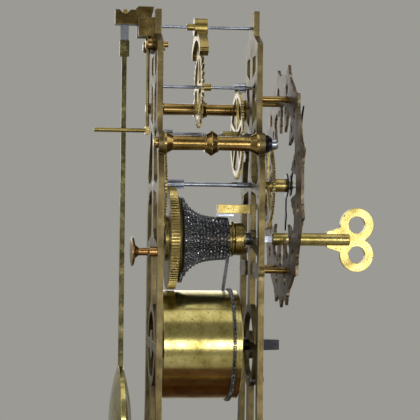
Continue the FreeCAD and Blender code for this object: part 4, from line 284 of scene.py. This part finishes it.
# Finishes by the record's slot
FINISHES = {
    # cast and filed brass, lacquer worn off: dull brown gold with a sandy grain and dark spots
    "plate_brass": metal(
        "filed_brass", [(0.2, "#251E11"), (0.42, "#564B30"), (0.62, "#6D6141"), (0.85, "#958962")],
        roughness=(0.34, 0.55), grain_mm=0.5, bump_mm=0.08, cloud_mm=9.0, specks_mm=1.4, edge="#CBB783"),
    # drawn and lathe-polished brass: pale greenish yellow, nearly a mirror, pitted with small dark spots
    "bright_brass": metal(
        "polished_brass", [(0.2, "#5A4D20"), (0.45, "#A2965A"), (0.62, "#B4A96E"), (0.85, "#C9BF88")],
        roughness=(0.12, 0.24), grain_mm=0.5, bump_mm=0.018, cloud_mm=9.0, specks_mm=2.2),
    # cut wheel brass, grained: greenish yellow
    "wheel_brass": metal(
        "grained_brass", [(0.2, "#4A3E20"), (0.45, "#81713F"), (0.65, "#9A8A55"), (0.85, "#B9AB7A")],
        roughness=(0.20, 0.38), grain_mm=0.5, bump_mm=0.04, cloud_mm=8.0, specks_mm=1.8),
    # turned brass pillars, burnished: browner than the plates, grain drawn out round the turning
    "pillar_brass": metal(
        "turned_brass", [(0.2, "#3E2F16"), (0.45, "#7C6538"), (0.65, "#937B4A"), (0.85, "#B39C6C")],
        roughness=(0.15, 0.26), grain_mm=0.5, bump_mm=0.004, cloud_mm=16.0, stretch=(0.3, 1, 0.3),
        specks_mm=2.6),
    # brass painted a deep brown gold as shade
    "dark_brass": metal(
        "shaded_dark_brass", [(0.25, "#2B2413"), (0.5, "#5E5130"), (0.8, "#8B7B4E")],
        roughness=(0.3, 0.5), grain_mm=0.5, bump_mm=0.04, edge="#A08F5E"),
    # the pierced dial
    "dial_brass": dial_finish("browned_brass"),
    # turned and burnished carbon steel, cool grey
    "steel": metal(
        "burnished_steel", [(0.25, "#50545C"), (0.5, "#7E838D"), (0.75, "#A9AEB8")],
        roughness=(0.14, 0.28), grain_mm=0.5, bump_mm=0.015, stretch=(0.2, 1, 0.2), edge="#D2D5DA"),
    # oiled hardened steel, nearly black with a cold sheen; its edges are painted lighter, as wear and as painted
    # glints
    "dark_steel": metal(
        "oiled_steel", [(0.25, "#121213"), (0.5, "#232326"), (0.8, "#424246")],
        roughness=(0.20, 0.36), grain_mm=0.4, bump_mm=0.03, edge="#8A8C90", edge_mm=0.15),
    # blued steel hands, black-blue
    "blued_steel": metal(
        "blued_steel", [(0.25, "#0C0C12"), (0.5, "#17171F"), (0.75, "#26262F")],
        roughness=(0.24, 0.38), grain_mm=0.5, bump_mm=0.01, edge="#4A4C58"),
    # old lacquered brass gone green, with a coarse glittering grain
    "pendulum_brass": metal(
        "greened_brass", [(0.2, "#16150B"), (0.45, "#36331E"), (0.65, "#534D30"), (0.85, "#9C9369")],
        roughness=(0.24, 0.42), grain_mm=0.8, bump_mm=0.14, cloud_mm=4.0, specks_mm=1.6, edge="#8F8659"),
    # gilt bronze, burnished
    "copper": metal(
        "burnished_bronze", [(0.25, "#55391F"), (0.5, "#87653C"), (0.8, "#AD8B5E")],
        roughness=(0.2, 0.34), grain_mm=0.5, bump_mm=0.02, stretch=(0.2, 1, 0.2)),
    "wood": mahogany("polished_mahogany"),
}

# The chain's middle plates: oiled steel with painted glints, small bright spots painted into its tone where they
# stand out
GLINT_PAINTED_STEEL = metal(
    "glint_painted_steel", [(0.38, "#1A1A1B"), (0.56, "#4B4C4D"), (0.68, "#D0D2D4")],
    roughness=(0.12, 0.32), grain_mm=0.5, bump_mm=0.02, cloud_mm=0.9, edge="#8E9092", edge_mm=0.12)

# Nodes whose look differs from that of their slot's other pieces
OWN_FINISHES = {
    # plate brass, painted dark brown as shade
    "back_cock": metal(
        "shaded_bridge_brass", [(0.2, "#1E180B"), (0.45, "#43371D"), (0.65, "#5C4E2D"), (0.85, "#94825A")],
        roughness=(0.3, 0.5), grain_mm=0.5, bump_mm=0.06, cloud_mm=7.0, specks_mm=1.6, edge="#CBB783"),
    # blank spring steel, dull grey
    "suspension_spring": metal(
        "dull_spring_steel", [(0.25, "#4B4E53"), (0.5, "#63676D"), (0.75, "#80848B")],
        roughness=(0.4, 0.55), grain_mm=0.4, bump_mm=0.02),
    # drawn brass tube and sheet, bright from handling
    "winding_key": metal(
        "drawn_key_brass", [(0.2, "#55491F"), (0.45, "#94854E"), (0.65, "#A99A63"), (0.85, "#C8BB88")],
        roughness=(0.2, 0.36), grain_mm=0.5, bump_mm=0.02, cloud_mm=9.0, specks_mm=2.2),
}


def dress_frame():
    """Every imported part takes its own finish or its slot's."""
    for row in frame["record"]["subparts"]:
        part = frame["nodes"][row["node"]]
        if not part.material_slots:
            part.data.materials.append(None)
        for held in part.material_slots:
            held.material = OWN_FINISHES.get(row["node"], FINISHES[row["material_slot"]])


def mesh_piece(name, points, faces, material, body):
    """A new piece from an array of points and a list of faces, which rides a body."""
    mesh = bpy.data.meshes.new(name)
    mesh.from_pydata([tuple(p) for p in points], [], faces)
    mesh.update()
    mesh.materials.append(material)
    piece = bpy.data.objects.new(name, mesh)
    bpy.context.scene.collection.objects.link(piece)
    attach(piece, body)
    return piece


def fusee_radius(share):
    """The cone's radius at a share of its length: an exponential fall from the large to the small end."""
    curve = np.exp(-FUSEE_CURVE * share)
    end = math.exp(-FUSEE_CURVE)
    return FUSEE_SMALL_R + (FUSEE_LARGE_R - FUSEE_SMALL_R) * (curve - end) / (1 - end)


def fusee_route(share):
    """The chain's line on the fusee for an array of shares: a helix on the cone, lifted by half the chain."""
    low, high = np.maximum(0, share - SLOPE_STEP), np.minimum(1, share + SLOPE_STEP)
    slope = (fusee_radius(high) - fusee_radius(low)) / ((high - low) * FUSEE_LENGTH)
    reach = (CHAIN_R + CHAIN_SEAT) / np.hypot(1, slope)
    y = FUSEE_BACK - CHAIN_R - share * (FUSEE_LENGTH - 2 * CHAIN_R) + slope * reach
    r = fusee_radius(share) + reach
    angle = math.pi + chain_lean() - (1 - share) * FUSEE_TURNS * TURN
    return np.stack([r * np.cos(angle), y, Z_FUSEE + r * np.sin(angle)], -1)


def barrel_route(share):
    """One turn round the barrel, from where the taut run meets it to the hook."""
    angle = chain_lean() - share * TURN
    y = CHAIN_LEAVES_Y - share * FUSEE_LENGTH / FUSEE_TURNS
    return np.stack([BARREL_CHAIN_R * np.cos(angle), y, Z_BARREL + BARREL_CHAIN_R * np.sin(angle)], -1)


def run_route(share):
    """The straight taut run from the fusee's small end to the barrel."""
    start, end = fusee_route(np.array([1.0]))[0], barrel_route(np.array([0.0]))[0]
    return start + share[:, None] * (end - start)


def chain_lean():
    """Lean of the crossed run, from the two radii and the distance between the arbors."""
    small = FUSEE_SMALL_R + CHAIN_R + CHAIN_SEAT
    return math.asin((small + BARREL_CHAIN_R) / (Z_FUSEE - Z_BARREL))


def link_outline():
    """Outline of a link plate, in length and height: a crowned middle that slopes to an eye at each end."""
    crown, eye, end = LINK_PITCH * LINK_CROWN_SHARE, LINK_PITCH * LINK_EYE_SHARE, LINK_PITCH * LINK_END_SHARE
    high = LINK_HEIGHT / 2
    low = high * EYE_HEIGHT_SHARE
    upper = np.array([(-end, 0), (-eye, low), (-crown, high), (crown, high), (eye, low), (end, 0)])
    return np.concatenate([upper, upper[-2:0:-1] * (1, -1)])


def rivet_outline():
    """Outline of a rivet, half a pitch ahead of its link's middle."""
    angles = np.arange(RIVET_SIDES) * TURN / RIVET_SIDES
    return np.column_stack([RIVET_R * np.cos(angles), RIVET_R * np.sin(angles)]) + (LINK_PITCH / 2, 0)


def prism(outline, low, high):
    """Points and faces of an outline carried from one place to another along the chain's width."""
    n = len(outline)
    ends = [np.column_stack([outline[:, 0], np.full(n, w), outline[:, 1]]) for w in (low, high)]
    sides = [(k, k + n, (k + 1) % n + n, (k + 1) % n) for k in range(n)]
    return np.concatenate(ends), [tuple(range(n)), tuple(range(2 * n - 1, n - 1, -1))] + sides


def repeated(shapes, places, axes):
    """The shapes copied to each place, turned to its axes: along, across and outward."""
    points, faces, count = [], [], 0
    for base, base_faces in shapes:
        moved = np.einsum("pk,nkd->npd", base, axes) + places[:, None, :]
        points.append(moved.reshape(-1, 3))
        for k in range(len(places)):
            shift = count + k * len(base)
            faces += [tuple(i + shift for i in face) for face in base_faces]
        count += moved.shape[0] * moved.shape[1]
    return np.concatenate(points), faces


def unit(vectors):
    """Each row brought to the length 1."""
    return vectors / np.linalg.norm(vectors, axis=1)[:, None]


def link_places(route, samples, centre_z):
    """Places at a steady pitch along a route, and at each the axes along, across, and out from the arbor."""
    line = route(np.linspace(0, 1, samples))
    run = np.concatenate([[0], np.cumsum(np.linalg.norm(np.diff(line, axis=0), axis=1))])
    count = int(run[-1] / LINK_PITCH)
    at = (np.arange(count) + 0.5) * run[-1] / count

    def points_at(lengths):
        return np.stack([np.interp(lengths, run, line[:, k]) for k in range(3)], -1)

    places = points_at(at)
    near = DIRECTION_SHARE * LINK_PITCH
    along = unit(points_at(at + near) - points_at(at - near))
    outward = (places - np.array([0, 0, centre_z])) * (1, 0, 1)
    outward = unit(outward - (outward * along).sum(1)[:, None] * along)
    return places, np.stack([along, np.cross(outward, along), outward], 1)


def chain(name, route, samples, centre_z, body, node):
    """A linked chain along a route: two outer plates and one thick middle plate by turns, on rivets."""
    places, axes = link_places(route, samples, centre_z)
    outline = link_outline()
    outer = [prism(outline, w - OUTER_PLATE_THICK / 2, w + OUTER_PLATE_THICK / 2)
             for w in (-OUTER_PLATE_PLACE, OUTER_PLATE_PLACE)]
    inner = [prism(outline, -INNER_PLATE_THICK / 2, INNER_PLATE_THICK / 2)]
    rivet = [prism(rivet_outline(), -RIVET_HALF, RIVET_HALF)]
    points, faces = repeated(outer, places[0::2], axes[0::2])
    plates = mesh_piece(name, points, faces, FINISHES["dark_steel"], body)
    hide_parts(node)
    points, faces = repeated(inner, places[1::2], axes[1::2])
    # the middle plates take the steel with painted glints
    mesh_piece(name + "_middles", points, faces, GLINT_PAINTED_STEEL, body)
    points, faces = repeated(rivet, places, axes)
    mesh_piece(name + "_rivets", points, faces, FINISHES["steel"], body)


def make_chains():
    """The wound chain on the fusee, one turn on the barrel, and the taut crossed run between them."""
    chain("fusee_chain_links", fusee_route, FUSEE_SAMPLES, Z_FUSEE, "fusee", "fusee_chain")
    chain("barrel_chain_links", barrel_route, BARREL_SAMPLES, Z_BARREL, "barrel", "barrel_chain")
    chain("chain_run_links", run_route, RUN_SAMPLES, Z_FUSEE, "frame", "chain_run")


def make_stage():
    """Plain pale floor that takes the object's shadow, and fades into the surroundings' shade further off."""
    mesh = bpy.data.meshes.new("floor")
    corners = [(-1, -1, 0), (1, -1, 0), (1, 1, 0), (-1, 1, 0)]
    mesh.from_pydata([(x * FLOOR_REACH, y * FLOOR_REACH, z) for x, y, z in corners], [], [(0, 1, 2, 3)])
    floor = bpy.data.objects.new("floor", mesh)
    bpy.context.scene.collection.objects.link(floor)
    paint, tree, shader, place = new_material("pale_floor")
    shader.inputs["Base Color"].default_value = linear(FLOOR_SHADE)
    shader.inputs["Roughness"].default_value = 0.9
    away = add_node(tree, "ShaderNodeVectorMath", {"operation": "LENGTH"}, {0: place}).outputs["Value"]
    reach = {"interpolation_type": "SMOOTHSTEP", "From Min": FLOOR_NEAR, "From Max": FLOOR_FAR}
    fade = add_node(tree, "ShaderNodeMapRange", reach, {"Value": away}).outputs["Result"]
    seen = seen_share(tree, 0.0)
    shade = add_node(tree, "ShaderNodeEmission", {"Color": linear(SURROUND)}, {"Strength": seen})
    mixed = add_node(tree, "ShaderNodeMixShader", links={0: fade, 1: shader.outputs[0], 2: shade.outputs[0]})
    tree.links.new(mixed.outputs[0], tree.nodes["Material Output"].inputs["Surface"])
    mesh.materials.append(paint)


def seen_share(tree, unseen):
    """1 for camera, glossy and transmission rays, and a smaller share for the rays that light the object."""
    rays = add_node(tree, "ShaderNodeLightPath").outputs
    seen = maths(tree, "ADD", {}, {0: rays["Is Camera Ray"], 1: rays["Is Glossy Ray"]})
    seen = maths(tree, "ADD", {"use_clamp": True}, {0: seen, 1: rays["Is Transmission Ray"]})
    return spread(tree, seen, unseen, 1.0)


def make_world():
    """Plain grey surroundings, the same to the eye and in the metal's reflections."""
    world = bpy.data.worlds.new("studio")
    world.use_nodes = True
    tree = world.node_tree
    background = tree.nodes["Background"]
    background.inputs["Color"].default_value = linear(SURROUND)
    tree.links.new(seen_share(tree, SURROUND_LIGHT_SHARE), background.inputs["Strength"])
    bpy.context.scene.world = world


def make_lamps():
    """Soft lamps: rectangles that face their aims and stay out of the picture."""
    for name, place, aim, width, height, power in LAMPS:
        data = bpy.data.lights.new(name, "AREA")
        data.shape = "RECTANGLE"
        data.size = width
        data.size_y = height
        data.energy = power
        made = bpy.data.objects.new(name, data)
        bpy.context.scene.collection.objects.link(made)
        made.location = place
        made.rotation_mode = "QUATERNION"
        made.rotation_quaternion = (Vector(aim) - Vector(place)).to_track_quat("-Z", "Y")
        made.visible_camera = False


def make_camera():
    """The photograph's view: from the clock's left side, a little behind its middle, nearly level."""
    data = bpy.data.cameras.new("camera")
    data.sensor_width = SENSOR
    field = PHOTO_WIDTH_PX * PHOTO_MM_PER_PX * MM
    data.lens = SENSOR * CAMERA_DISTANCE / field
    camera = bpy.data.objects.new("camera", data)
    bpy.context.scene.collection.objects.link(camera)
    back = Vector((-math.cos(CAMERA_TURN), math.sin(CAMERA_TURN), 0))
    camera.location = Vector(CAMERA_AIM) + back * CAMERA_DISTANCE
    camera.rotation_mode = "QUATERNION"
    turn = (-back).to_track_quat("-Z", "Y")
    camera.rotation_quaternion = turn @ Matrix.Rotation(CAMERA_ROLL, 4, "Z").to_quaternion()
    bpy.context.scene.camera = camera


bpy.context.scene.view_settings.view_transform = "Standard"
dress_frame()
make_chains()
make_stage()
make_world()
make_lamps()
make_camera()
